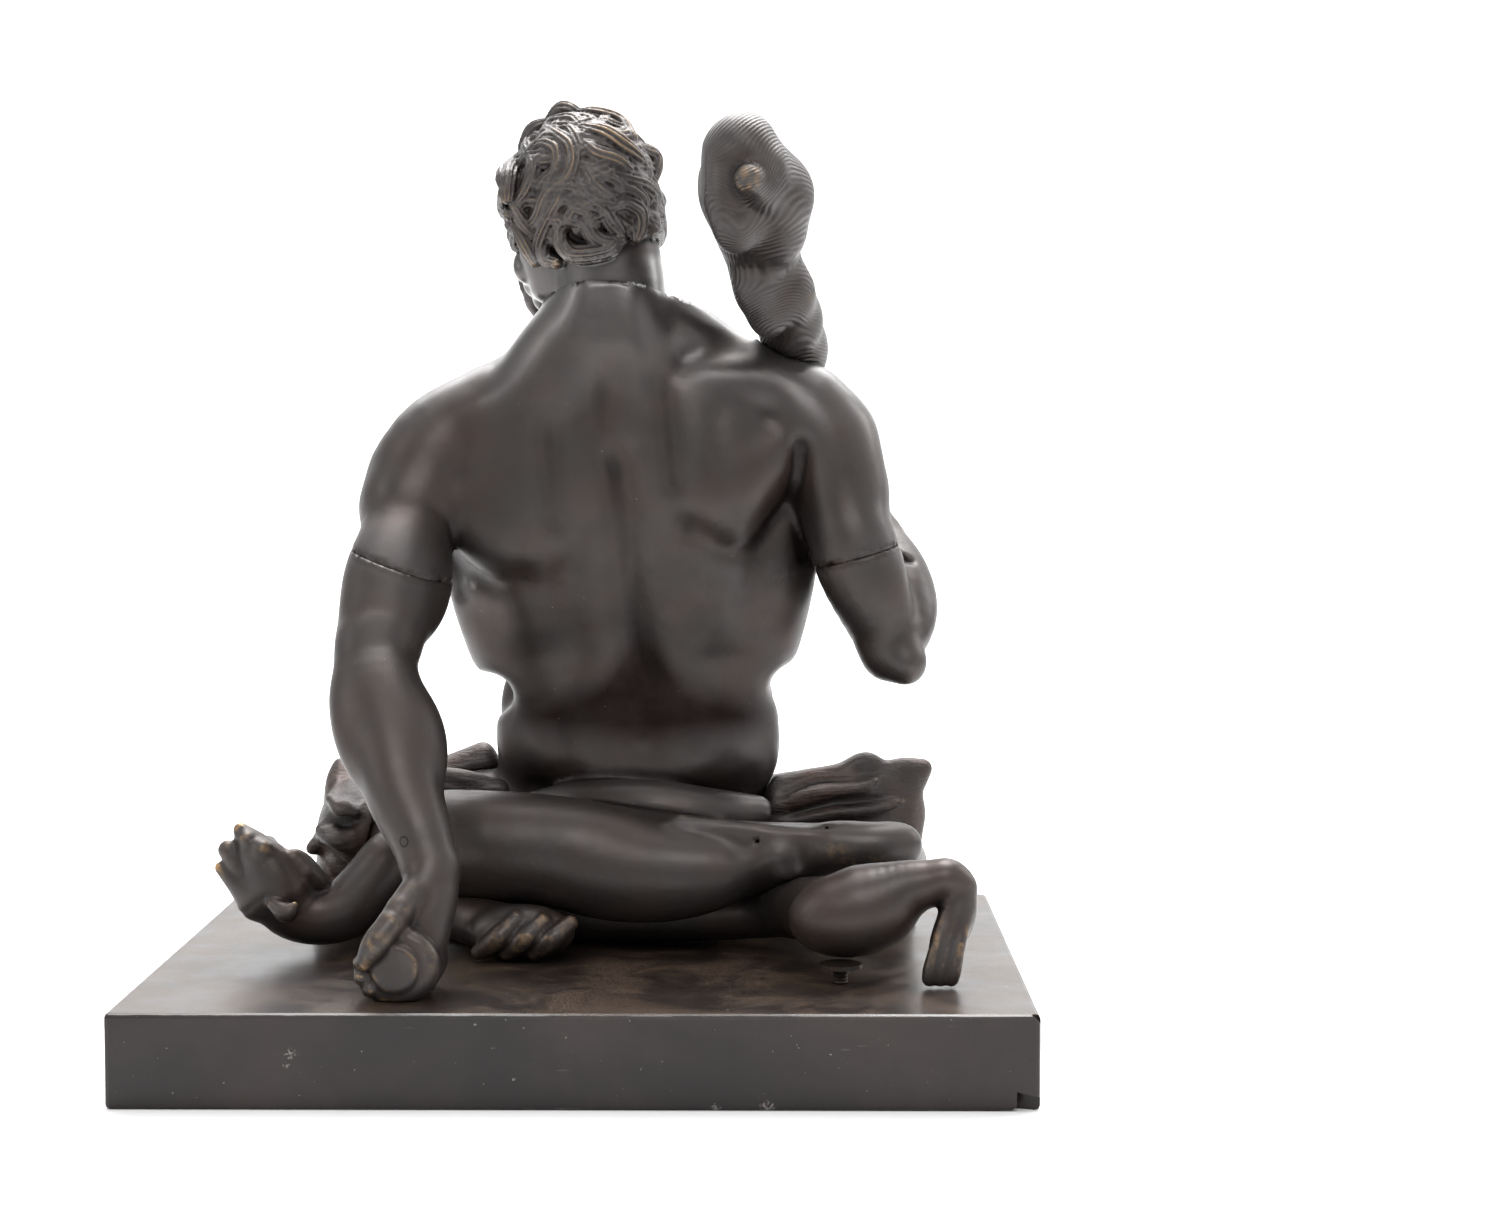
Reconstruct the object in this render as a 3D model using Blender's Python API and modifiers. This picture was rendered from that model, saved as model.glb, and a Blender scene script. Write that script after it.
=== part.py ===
"""Bronze Hercules seated among the coils of the hydra, on a slab of black marble.

Metres, +Z up. The origin is the middle of the slab's underside. The side that the photograph shows, the
hero's back, looks along -Y, and his left hand is at -X. The bronze is modelled like clay: each form is a
distance field of bellies and tapering limbs melted together, and its zero surface is the casting's skin.
"""

import bmesh
import bpy
import numpy as np
import openvdb
from mathutils import Matrix

# Driving sizes, in metres
BASE_WIDTH = 0.470
BASE_DEPTH = 0.350
BASE_HEIGHT = 0.049
BASE_EDGE_ROUND = 0.0025
CORNER_CHIP = 0.007
FOOT_CHIP_WIDTH = 0.020
FOOT_CHIP_HEIGHT = 0.007
FIGURE_HEIGHT = 0.478
SEAM_GAP = 0.0003
REST_GAP = 0.0003
STUD_DIAMETER = 0.008
STUD_PITCH = 0.0015
STUD_PLACE = (0.1365, -0.099)
WASHER_DIAMETER = 0.023
WASHER_THICK = 0.0022

# The figure is modelled in its own millimetres, 478 high, and scaled to its height
MODELLED_HEIGHT = 478.0
SCALE = FIGURE_HEIGHT / MODELLED_HEIGHT
CONTACT_GAP = 1.2
COARSE_GAP = 1.8
SEAM_SPLIT = SEAM_GAP / SCALE
FAR = 1000.0

# The grid of each piece's clay
TORSO_CELL = 3.0
HEAD_CELL = 2.0
ARM_CELL = 2.2
CLUB_CELL = 2.4
BEAST_CELL = 2.2
HIDE_CELL = 2.8


class Clay:
    """A block of signed distances on a grid of so many millimetres. Heights are above the slab's top."""

    def __init__(self, low, high, cell):
        self.cell = cell
        self.low = np.floor(np.array(low, float) / self.cell) * self.cell
        counts = np.ceil((np.array(high, float) - self.low) / self.cell).astype(int) + 1
        self.axes = [self.low[i] + self.cell * np.arange(counts[i]) for i in range(3)]
        self.field = np.full(counts, FAR, np.float32)

    def window(self, low, high):
        """The slices of the block between two corners, and its open grid of coordinates there."""
        cuts = []
        for axis, a, b in zip(self.axes, low, high):
            first, last = np.searchsorted(axis, a), np.searchsorted(axis, b)
            if first >= last:
                return None, None
            cuts.append(slice(first, last))
        x, y, z = (axis[cut].astype(np.float32) for axis, cut in zip(self.axes, cuts))
        return tuple(cuts), (x[:, None, None], y[None, :, None], z[None, None, :])

    def merge(self, cuts, distance, blend, carve=False):
        """Melts a form into the clay, or carves it away, with a rounded transition of the blend's width."""
        old = self.field[cuts]
        if carve:
            old, distance = -old, distance
        share = np.clip(0.5 + 0.5 * (distance - old) / blend, 0, 1)
        new = distance * (1 - share) + old * share - blend * share * (1 - share)
        self.field[cuts] = -new if carve else new

    def blob(self, centre, radii, turn=None, blend=8.0, carve=False):
        """An ellipsoid. Its three radii lie along the rows of turn, or along X, Y and Z."""
        turn = np.eye(3) if turn is None else np.array(turn, float)
        centre, radii = np.array(centre, float), np.array(radii, float)
        reach = np.sqrt(((turn.T * radii) ** 2).sum(axis=1)) + blend + 2 * self.cell
        cuts, grid = self.window(centre - reach, centre + reach)
        if cuts is None:
            return
        offset = [g - c for g, c in zip(grid, centre)]
        local = [row[0] * offset[0] + row[1] * offset[1] + row[2] * offset[2] for row in turn]
        near = np.sqrt(sum((q / r) ** 2 for q, r in zip(local, radii))) + 1e-6
        slope = np.sqrt(sum((q / r**2) ** 2 for q, r in zip(local, radii))) + 1e-6
        self.merge(cuts, near * (near - 1) / slope, blend, carve)

    def belly(self, start, end, width, thick, facing=(0, -1, 0), blend=8.0, carve=False):
        """A muscle's belly: an ellipsoid from start to end, with its flat side towards facing."""
        start, end = np.array(start, float), np.array(end, float)
        along = end - start
        length = np.linalg.norm(along)
        along = along / length
        out = np.array(facing, float)
        out = out - along * (out @ along)
        out = out / np.linalg.norm(out)
        turn = [along, np.cross(out, along), out]
        self.blob((start + end) / 2, (length / 2, width / 2, thick / 2), turn, blend, carve)

    def limb(self, points, radii, blend=8.0, flat=1.0, facing=(0, -1, 0), carve=False, steps=5):
        """A tube through points with its radius at each of them. flat thins it towards facing."""
        path = smooth_path(np.column_stack([points, radii]), steps)
        out = np.array(facing, float) / np.linalg.norm(facing)
        reach = path[:, 3].max() + blend + 2 * self.cell
        cuts, grid = self.window(path[:, :3].min(axis=0) - reach, path[:, :3].max(axis=0) + reach)
        if cuts is None:
            return
        distance = np.full([len(axis[cut]) for axis, cut in zip(self.axes, cuts)], 900.0, np.float32)
        for a, b in zip(path[:-1], path[1:]):
            step = b[:3] - a[:3]
            offset = [g - c for g, c in zip(grid, a[:3])]
            share = sum(o * s for o, s in zip(offset, step)) / max(step @ step, 1e-9)
            share = np.clip(share, 0, 1)
            away = [o - share * s for o, s in zip(offset, step)]
            square = sum(q * q for q in away)
            if flat != 1.0:
                lift = sum(q * n for q, n in zip(away, out))
                square = square + (1 / flat**2 - 1) * lift * lift
            distance = np.minimum(distance, np.sqrt(square) - (a[3] + share * (b[3] - a[3])))
        self.merge(cuts, distance * min(flat, 1.0), blend, carve)

    def stroke(self, points, width, depth, reach_y=(-400, 60)):
        """A chisel's groove, or with a negative depth a ridge, seen along Y. points are (x, z) pairs."""
        path = smooth_path(np.array(points, float), 4)
        low = (path[:, 0].min() - 3 * width, reach_y[0], path[:, 1].min() - 3 * width)
        high = (path[:, 0].max() + 3 * width, reach_y[1], path[:, 1].max() + 3 * width)
        cuts, (x, y, z) = self.window(low, high)
        nearest = np.full((x.shape[0], 1, z.shape[2]), 1e6, np.float32)
        for a, b in zip(path[:-1], path[1:]):
            step = b - a
            share = ((x - a[0]) * step[0] + (z - a[1]) * step[1]) / max(step @ step, 1e-9)
            share = np.clip(share, 0, 1)
            square = (x - a[0] - share * step[0]) ** 2 + (z - a[1] - share * step[1]) ** 2
            nearest = np.minimum(nearest, square)
        self.field[cuts] += depth * np.exp(-nearest / width**2)

    def halfspace(self, point, normal, blend=0.5):
        """Cuts away all clay on the side of the plane that its normal points to."""
        x, y, z = (a.astype(np.float32) for a in self.axes)
        n = np.array(normal, float) / np.linalg.norm(normal)
        side = (x[:, None, None] - point[0]) * n[0] + (y[None, :, None] - point[1]) * n[1]
        side = side + (z[None, None, :] - point[2]) * n[2]
        self.merge(tuple(slice(None) for _ in range(3)), -side, blend, carve=True)

    def shared(self, other):
        """The slices of this block that another one reaches, and the other's distances read there."""
        low = np.maximum(self.low, other.low)
        high = np.minimum([axis[-1] for axis in self.axes], [axis[-1] for axis in other.axes])
        cuts, _ = self.window(low, high)
        return cuts, other.read_grid([axis[cut] for axis, cut in zip(self.axes, cuts)])

    def read_grid(self, axes):
        """This clay's distances on another grid's axes, interpolated along X, Y and Z in turn."""
        field = self.field
        for k, axis in enumerate(axes):
            place = np.clip((axis - self.low[k]) / self.cell, 0, field.shape[k] - 1.001)
            first = place.astype(int)
            share = (place - first).astype(np.float32).reshape([-1 if j == k else 1 for j in range(3)])
            field = np.take(field, first, k) * (1 - share) + np.take(field, first + 1, k) * share
        return field

    def add(self, other, blend):
        """Melts another block's clay into this one."""
        cuts, distance = self.shared(other)
        self.merge(cuts, distance, blend)

    def keep_off(self, other, gap):
        """Cuts this clay back to a gap from another piece's clay."""
        cuts, distance = self.shared(other)
        self.field[cuts] = np.maximum(self.field[cuts], gap - distance)

    def soften(self, passes):
        """Smooths the clay: each pass averages a point with its neighbours along each axis."""
        for _ in range(passes):
            for axis in range(3):
                before = np.take(self.field, [0] + list(range(self.field.shape[axis] - 1)), axis)
                after = np.take(self.field, list(range(1, self.field.shape[axis])) + [-1], axis)
                self.field = 0.25 * before + 0.5 * self.field + 0.25 * after

    def surface(self):
        """The zero surface as (points in metres, quads)."""
        grid = openvdb.FloatGrid(FAR)
        grid.copyFromArray(self.field)
        points, quads = one_shell(*grid.convertToQuads(isovalue=0.0))
        points = (points * self.cell + self.low) * SCALE
        points[:, 2] += BASE_HEIGHT
        return points, quads


def blurred(field, half):
    """The field's mean over a box of so many cells to each side, from running sums along each axis."""
    half = max(1, int(round(half)))
    for axis in range(3):
        ends = [(0, 0)] * 3
        ends[axis] = (half + 1, half)
        total = np.cumsum(np.pad(field, ends, mode="edge"), axis, dtype=np.float32)
        count = total.shape[axis]
        upper = np.take(total, range(2 * half + 1, count), axis)
        lower = np.take(total, range(0, count - 2 * half - 1), axis)
        field = (upper - lower) / (2 * half + 1)
    return field


def read_points(field, places):
    """The field's values at places given in cells, each the mean of the eight points round it by nearness."""
    places = np.clip(places, 0, np.array(field.shape) - 1.001)
    first = places.astype(int)
    share = places - first
    value = np.zeros(len(places))
    for corner in np.ndindex(2, 2, 2):
        weight = np.prod(np.where(corner, share, 1 - share), axis=1)
        value += weight * field[tuple((first + corner).T)]
    return value


def one_shell(points, quads):
    """Keeps the largest connected skin, so that no crumb or sealed hollow is left."""
    label = np.arange(len(points))
    ends = quads[:, [0, 1, 1, 2, 2, 3]].reshape(-1, 2)
    while True:
        low = np.minimum(label[ends[:, 0]], label[ends[:, 1]])
        new = label.copy()
        np.minimum.at(new, ends[:, 0], low)
        np.minimum.at(new, ends[:, 1], low)
        new = new[new]
        if np.array_equal(new, label):
            break
        label = new
    keep = label == np.bincount(label).argmax()
    number = np.cumsum(keep) - 1
    return points[keep], number[quads[keep[quads[:, 0]]]]


def smooth_path(points, steps):
    """A smooth curve through rows of numbers, with so many steps between each two."""
    points = np.array(points, float)
    padded = np.vstack([2 * points[0] - points[1], points, 2 * points[-1] - points[-2]])
    rows = []
    for i in range(1, len(padded) - 2):
        p0, p1, p2, p3 = padded[i - 1 : i + 3]
        for t in np.arange(steps) / steps:
            rows.append(
                0.5 * (2 * p1 + (p2 - p0) * t + (2 * p0 - 5 * p1 + 4 * p2 - p3) * t**2
                       + (3 * p1 - p0 - 3 * p2 + p3) * t**3)
            )
    rows.append(points[-1])
    return np.array(rows)


# The furrow of the spine, from the loins to the neck
SPINE = [(24, 34, 90), (26, 34, 122), (24, 32, 158), (19, 22, 196), (16, 12, 240), (11, 9, 280), (8, 12, 320),
         (7, 20, 356)]

# The seams where the head and the arms were joined on: a point, and the way across the seam
NECK_SEAM = (8, 15, 369)
NECK_SEAM_NORMAL = (0.03, 0.37, 0.93)
LEFT_SEAM = (-106, 5, 215)
LEFT_SEAM_NORMAL = (-0.335, 0, -0.942)
RIGHT_SEAM = (146, 30, 219)
RIGHT_SEAM_NORMAL = (0.27, 0, -0.96)

RIGHT_CROOK = [(118, 64, 222), (150, 63, 220), (180, 52, 217)]


def body_forms(clay):
    """Back, chest, shoulders and the two legs, of one casting."""
    clay.blob((18, 66, 250), (88, 52, 96), blend=16)
    clay.blob((22, 76, 116), (72, 46, 80), blend=18)
    clay.blob((20, 80, 56), (76, 46, 48), blend=16)
    # shoulders
    clay.limb([(-60, 48, 297), (-94, 40, 280), (-112, 34, 246)], [30, 27.5, 23], blend=14)
    clay.limb([(88, 46, 314), (126, 42, 294), (142, 38, 258)], [27, 27, 24], blend=14)
    clay.belly((-83, 30, 292), (-116, 18, 226), 40, 34, (-0.5, -1, 0.2), blend=12)
    clay.belly((112, 32, 316), (150, 26, 240), 38, 34, (0.5, -1, 0.2), blend=12)
    clay.blob((-92, 74, 268), (30, 28, 34), blend=10)
    clay.blob((128, 72, 276), (30, 28, 34), blend=10)
    # trapezius, from the nape to each shoulder
    clay.limb([(8, 34, 372), (-14, 38, 340), (-46, 42, 309), (-84, 46, 288)], [27, 26, 23, 20], blend=14)
    clay.limb([(12, 34, 376), (36, 38, 350), (74, 42, 325), (118, 46, 306)], [27, 26, 23, 20], blend=14)
    clay.belly((4, 15, 366), (-50, 18, 290), 50, 28, (-0.2, -1, 0.4), blend=12)
    clay.belly((16, 13, 368), (38, 15, 300), 36, 24, (0.1, -1, 0.3), blend=10)
    # the broad sheets of the back, with the blades under them
    for side, lean in ((-1, 0), (1, 14)):
        outer = 14 + side * 50
        sheet = [(14 + side * 40, 44, 292 + lean), (outer, 42, 240 + lean), (14 + side * 46, 54, 176),
                 (22 + side * 36, 66, 118)]
        clay.limb(sheet, [33, 36, 31, 24], blend=18)
    clay.belly((-30, 22, 306), (-58, 21, 208), 78, 34, (-0.15, -1, 0), blend=14)
    clay.belly((-38, 22, 222), (-100, 30, 258), 40, 32, (-0.3, -1, 0), blend=12)
    clay.belly((48, 22, 320), (80, 19, 228), 74, 36, (0.15, -1, 0), blend=12)
    clay.belly((66, 21, 244), (120, 31, 290), 42, 34, (0.3, -1, 0), blend=12)
    clay.belly((58, 17, 322), (120, 33, 314), 24, 20, (0.2, -1, 0.3), blend=8)
    # latissimus, the wings of the back
    clay.belly((-84, 52, 270), (-32, 66, 104), 56, 50, (-0.8, -0.6, 0), blend=14)
    clay.belly((116, 54, 276), (76, 66, 104), 56, 50, (0.8, -0.6, 0), blend=14)
    # the two columns beside the spine and the rolls over the hips
    for side in (-1, 1):
        points = [(x + side * 17, y + 17, z) for x, y, z in SPINE[:7]]
        clay.limb(points, [18, 19, 18, 17, 17, 17, 16], blend=16)
        clay.belly((22 + side * 58, 66, 140), (22 + side * 62, 68, 76), 40, 46, (side, -0.4, 0), blend=12)
        loin = 24 + side * 18
        clay.belly((loin, 38, 116), (loin + side * 44, 50, 106), 44, 28, (side * 0.3, -1, 0), blend=14)
    # the hollow of the loins and the waist
    clay.blob((25, 12, 126), (56, 15, 27), blend=12, carve=True)
    clay.blob((-63, 62, 138), (14, 60, 12), blend=8, carve=True)
    clay.blob((112, 62, 142), (13, 56, 12), blend=8, carve=True)
    # the roll he sits on
    clay.limb([(-40, 38, 80), (-8, 24, 81), (30, 15, 80), (66, 18, 75), (92, 34, 73)],
              [4, 10, 13.5, 13, 9], blend=4)
    # chest and belly, on the far side
    for side in (-1, 1):
        clay.belly((20 + side * 8, 106, 256), (20 + side * 84, 84, 276), 70, 40, (0, 1, 0), blend=7)
        clay.belly((20 + side * 60, 100, 160), (20 + side * 64, 92, 96), 40, 30, (side * 0.4, 1, 0), blend=8)
        for row in range(4):
            clay.blob((20 + side * 15, 112 - 0.6 * row, 210 - 27 * row), (18, 8, 14), blend=7)
            start = (20 + side * 50, 106, 222 - 17 * row)
            clay.belly(start, (20 + side * 82, 82, 236 - 17 * row), 16, 13, (side, 1, 0), blend=7)
    clay.blob((20, 119, 128), (4, 4, 4), blend=3, carve=True)
    clay.limb([(12, 70, 322), (-30, 82, 312), (-84, 74, 296)], [9, 8, 9], blend=8)
    clay.limb([(20, 72, 324), (62, 84, 318), (112, 76, 306)], [9, 8, 9], blend=8)
    clay.limb([(9, 34, 345), (9, 33, 372), (8, 34, 400)], [33, 31, 31], blend=10)
    clay.limb([(8, 30, 350), (8, 26, 318), (11, 24, 290)], [26, 18, 14], blend=14)


def back_strokes(clay):
    """The lines of the back, in low relief: places (x, z) seen from behind, then the width and the depth."""
    # the furrow of the spine
    clay.stroke([(5, 314), (5, 298), (9, 280), (12, 266), (16, 241), (17, 214), (20, 190), (24, 164),
                 (26, 140),
                 (27, 118)], 9, 2.0)
    # under the blades
    clay.stroke([(-88, 232), (-80, 217), (-68, 209), (-54, 206), (-40, 208)], 8, 3.4)
    clay.stroke([(54, 236), (64, 231), (74, 225), (84, 225), (93, 233), (103, 249), (111, 264), (117, 276)],
                8, 3.2)
    # the hollow over the right blade
    clay.stroke([(38, 322), (46, 331), (58, 337), (72, 339), (86, 338)], 9, 2.4)
    clay.stroke([(8, 366), (9, 348), (10, 328)], 9, 1.4)
    # armpits
    clay.stroke([(-92, 244), (-86, 232), (-82, 214), (-79, 198)], 5, 4.5)
    clay.stroke([(117, 282), (118, 262), (119, 240), (120, 218)], 5, 4.5)
    # the soft valleys inside the blades, and the ridges beside them
    clay.stroke([(-26, 300), (-24, 270), (-22, 240)], 7, 1.8)
    clay.stroke([(40, 310), (42, 286), (45, 262)], 6, 2.0)
    clay.stroke([(70, 300), (68, 284), (66, 268)], 7, 1.2)
    clay.stroke([(-6, 368), (-14, 350), (-28, 330), (-44, 316), (-68, 304)], 11, -1.8)
    clay.stroke([(21, 364), (23, 344), (26, 326), (23, 308), (20, 292)], 12, -1.6)
    # ribs, flanks and the dimples over the hips
    clay.stroke([(-66, 184), (-52, 168), (-40, 162), (-30, 164)], 12, 2.0)
    clay.stroke([(104, 184), (94, 168), (84, 160), (72, 160)], 12, 2.0)
    clay.stroke([(-31, 121), (-27, 114)], 9, 1.4)
    clay.stroke([(56, 118), (60, 108)], 9, 1.4)


def left_leg_forms(clay):
    """Folded behind him: the thigh lies under the hide and the calf lies across the beast."""
    clay.limb([(-10, 84, 50), (-70, 76, 52), (-126, 52, 52)], [40, 38, 31], blend=12)
    clay.blob((-134, 46, 52), (21, 22, 23), blend=10)
    clay.limb([(-126, 38, 54), (-80, 2, 58), (-18, -8, 55), (42, -12, 50), (92, -16, 54), (122, -18, 58),
               (146, -22, 60)], [24, 31, 30, 27, 20, 15.5, 13], blend=10)
    clay.belly((-96, -8, 60), (28, -22, 60), 50, 34, (0, -1, 0.3), blend=12)
    clay.belly((-30, -21, 41), (88, -32, 44), 48, 36, (0, -1, -0.1), blend=9)
    # the tendon over the ankle, and the ankle's knobs
    clay.limb([(48, -24, 76), (80, -28, 72), (112, -30, 69), (140, -28, 68)], [4, 5, 4.5, 4], blend=6)
    clay.blob((104, -33, 58), (10, 6, 6), blend=6)
    clay.blob((108, -33, 48), (8, 5, 5), blend=5)
    clay.blob((88, -41, 62), (9, 4, 4), blend=7, carve=True)
    # heel, sole and toes
    clay.limb([(136, -26, 62), (156, -28, 62), (172, -24, 62)], [13, 13.5, 12], blend=6)
    clay.limb([(166, -22, 60), (174, 6, 52), (178, 34, 42), (180, 52, 32)], [12, 12, 12, 8], blend=8)
    for toe in range(5):
        root = (174 - 1.5 * toe, 44 - 3 * toe, 38 - 5 * toe)
        tip = (181 - 1.5 * toe, 62 - 5 * toe, 30 - 4.5 * toe)
        clay.limb([root, tip], [5, 4.2 if toe else 5.5], blend=2.5)


def right_leg_forms(clay):
    """Folded before him: the knee points right and the foot lies on the slab, left of the middle."""
    clay.limb([(54, 86, 44), (108, 102, 46), (156, 116, 52)], [38, 32, 26], blend=12)
    clay.blob((162, 120, 50), (22, 23, 24), blend=8)
    clay.limb([(158, 124, 46), (110, 136, 30), (50, 140, 24), (-10, 142, 19), (-44, 142, 17)],
              [24, 29, 26, 18, 15], blend=8)
    clay.belly((134, 126, 32), (36, 128, 27), 44, 40, (0, -0.4, 1), blend=8)
    clay.blob((-52, 136, 20), (15, 14, 14), blend=6)
    clay.limb([(-50, 138, 20), (-78, 150, 22), (-104, 154, 14), (-112, 153, 10)], [13, 13, 10, 7], blend=7)
    for toe in range(5):
        root, tip = (-104, 160 - 5.5 * toe, 10), (-122 + 2 * toe, 160 - 6 * toe, 7)
        clay.limb([root, tip], [5, 4.2 if toe else 5.5], blend=2.5)


def left_arm_forms(clay):
    clay.limb([(-103, 40, 262), (-105, 14, 232), (-108, -12, 204), (-112, -36, 178)], [27, 25, 25, 22],
              blend=8)
    clay.belly((-108, 14, 244), (-120, -42, 180), 44, 36, (0.2, -1, 0.4), blend=9)
    clay.belly((-94, 24, 226), (-100, -22, 176), 34, 34, (1, 0.2, 0), blend=9)
    clay.limb([(-111, 22, 252), (-112, 8, 226), (-117, -18, 198), (-122, -38, 180)], [18, 16.5, 17, 14.5],
              blend=9)
    clay.blob((-124, -50, 172), (12, 11, 13), blend=8)
    clay.limb([(-115, -42, 172), (-111, -60, 148), (-102, -76, 124), (-94, -92, 100), (-84, -106, 80),
               (-77.5, -114, 64)], [19, 23.5, 23, 20.5, 17, 14.5], blend=8)
    clay.belly((-98, -58, 152), (-84, -88, 100), 32, 34, (1, -0.4, 0), blend=9)
    clay.belly((-124, -52, 172), (-112, -88, 104), 30, 36, (-1, -0.2, 0), blend=9)
    clay.belly((-110, -62, 160), (-96, -104, 96), 30, 22, (0, -1, 0.2), blend=9)


STUB = np.array([-92.0, 0.0, 17.5])
STUB_RADIUS = 9.8


def left_hand_forms(clay):
    """A fist round a stub that points at the viewer, the fingers under it and the thumb beside it."""
    clay.limb([(-77.5, -114, 64), (-76, -122, 50), (-77, -128, 36), (-79, -131, 22), (-84, -133, 10)],
              [14, 13.5, 12, 10.5, 9], blend=6)
    clay.blob((-86, -126, 38), (12, 14, 14), blend=6)
    for finger in range(4):
        y = -143 + 11 * finger
        turns = np.radians([130, 90, 50, 10, -30, -70, -110, -145, -172])
        ring = [STUB + (16.5 * np.cos(t), y, (13.4 + 2 * (t > 0)) * np.sin(t)) for t in turns]
        clay.limb(ring, [5, 5.4, 6, 6.5, 6.8, 6.8, 6.6, 6.0, 5.4], blend=2.6)
    clay.limb([STUB + (0, -147, 0), STUB + (0, -100, 0)], [13, 13], blend=2)
    clay.limb([STUB + (0, -154, 0), STUB + (0, -100, 0)], [STUB_RADIUS, STUB_RADIUS], blend=0.6)
    clay.halfspace((0, -151.5, 0), (0, -1, 0), blend=2)
    for tip in ((-17.5, -146, 3), (-17, -147, -5), (-13, -147, -11)):
        clay.blob(STUB + tip, (4.2, 4.5, 4), blend=1.5)
    # the thumb, laid over the fingers
    clay.limb([(-79, -122, 60), (-87, -134, 50), (-94, -144, 40)], [9, 8, 7.5], blend=4)
    clay.limb([(-94, -146, 40), (-101, -150, 31), (-107, -150, 21)], [7.2, 7.4, 4.6], blend=1.5)
    clay.blob((-90, -140, 47), (6, 6, 6), blend=3)


def right_upper_arm_forms(clay):
    clay.limb([(133, 44, 285), (140, 36, 250), (150, 30, 214), (164, 26, 178)], [27, 25, 24.5, 19], blend=8)
    clay.belly((138, 20, 258), (164, 16, 176), 42, 36, (0, -1, 0.2), blend=9)
    clay.belly((140, 56, 250), (160, 48, 190), 40, 36, (0, 1, 0.2), blend=9)
    clay.blob((176, 18, 160), (12, 13, 13), blend=7)


def right_forearm_forms(clay):
    clay.limb([(168, 26, 166), (173, 54, 190), (164, 92, 221), (150, 119, 248)], [18, 21, 18, 12.5], blend=8)
    clay.belly((182, 26, 172), (169, 86, 226), 28, 34, (1, 0, 0.2), blend=9)
    clay.belly((158, 34, 166), (154, 92, 212), 28, 30, (-1, 0.2, -0.4), blend=9)


CLUB_LINE = [(85, -44, 444), (88, -30, 422), (93, -6, 396), (103, 22, 370), (111, 50, 342), (121, 92, 302),
             (131, 132, 264), (137, 156, 240)]
CLUB_RADII = [18, 26, 22, 17, 17, 13, 11, 12]


def right_hand_forms(clay):
    """A fist round the club's handle."""
    top, low = np.array(CLUB_LINE[5], float), np.array(CLUB_LINE[7], float)
    along = (low - top) / np.linalg.norm(low - top)
    hub = np.array(CLUB_LINE[6], float)
    out = np.array([1.0, -0.1, 0.1])
    out = out - along * (out @ along)
    out /= np.linalg.norm(out)
    side = np.cross(along, out)
    clay.limb([(150, 119, 248), hub + out * 15 + side * 2], [12.5, 15], blend=6)
    for finger in range(4):
        centre = hub + along * (-16 + 11 * finger)
        turns = np.radians([0, 50, 100, 150, 200, 240])
        ring = [centre + 15.5 * (np.cos(t) * out + np.sin(t) * side) for t in turns]
        clay.limb(ring, [6.4, 6, 5.8, 5.6, 5.2, 4.6], blend=2.6)
    turns = np.radians([-10, -60, -110, -160])
    ring = [hub - along * 20 + 15.5 * (np.cos(t) * out + np.sin(t) * side) for t in turns]
    clay.limb(ring, [8, 7.2, 6.4, 5.4], blend=3)


def club_forms(clay):
    """A knotty branch, thick and cut off aslant at its end."""
    clay.limb(CLUB_LINE, CLUB_RADII, blend=6)
    clay.limb([(70, -44, 438), (82, -50, 442), (94, -50, 434)], [12, 14, 13], blend=8)
    knots = [((96, -54, 424), 11), ((66, -48, 424), 11), ((80, -44, 400), 11), ((108, -34, 418), 15),
             ((106, -22, 398), 11), ((90, -6, 369), 11), ((98, 6, 356), 11), ((114, 10, 366), 10),
             ((116, 28, 352), 12),
             ((118, 50, 338), 12), ((72, -14, 426), 13), ((104, -6, 430), 13), ((112, 96, 304), 6)]
    for centre, radius in knots:
        clay.blob(centre, (radius, radius, radius * 1.25), blend=13)
    clay.limb([(95, -54, 420), (88, -68, 424)], [10, 8], blend=4)
    clay.halfspace((56, -50, 456), (-0.75, -0.25, 0.62), blend=6)
    clay.halfspace((56, 0, 0), (-1, -0.15, 0), blend=4)


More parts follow.
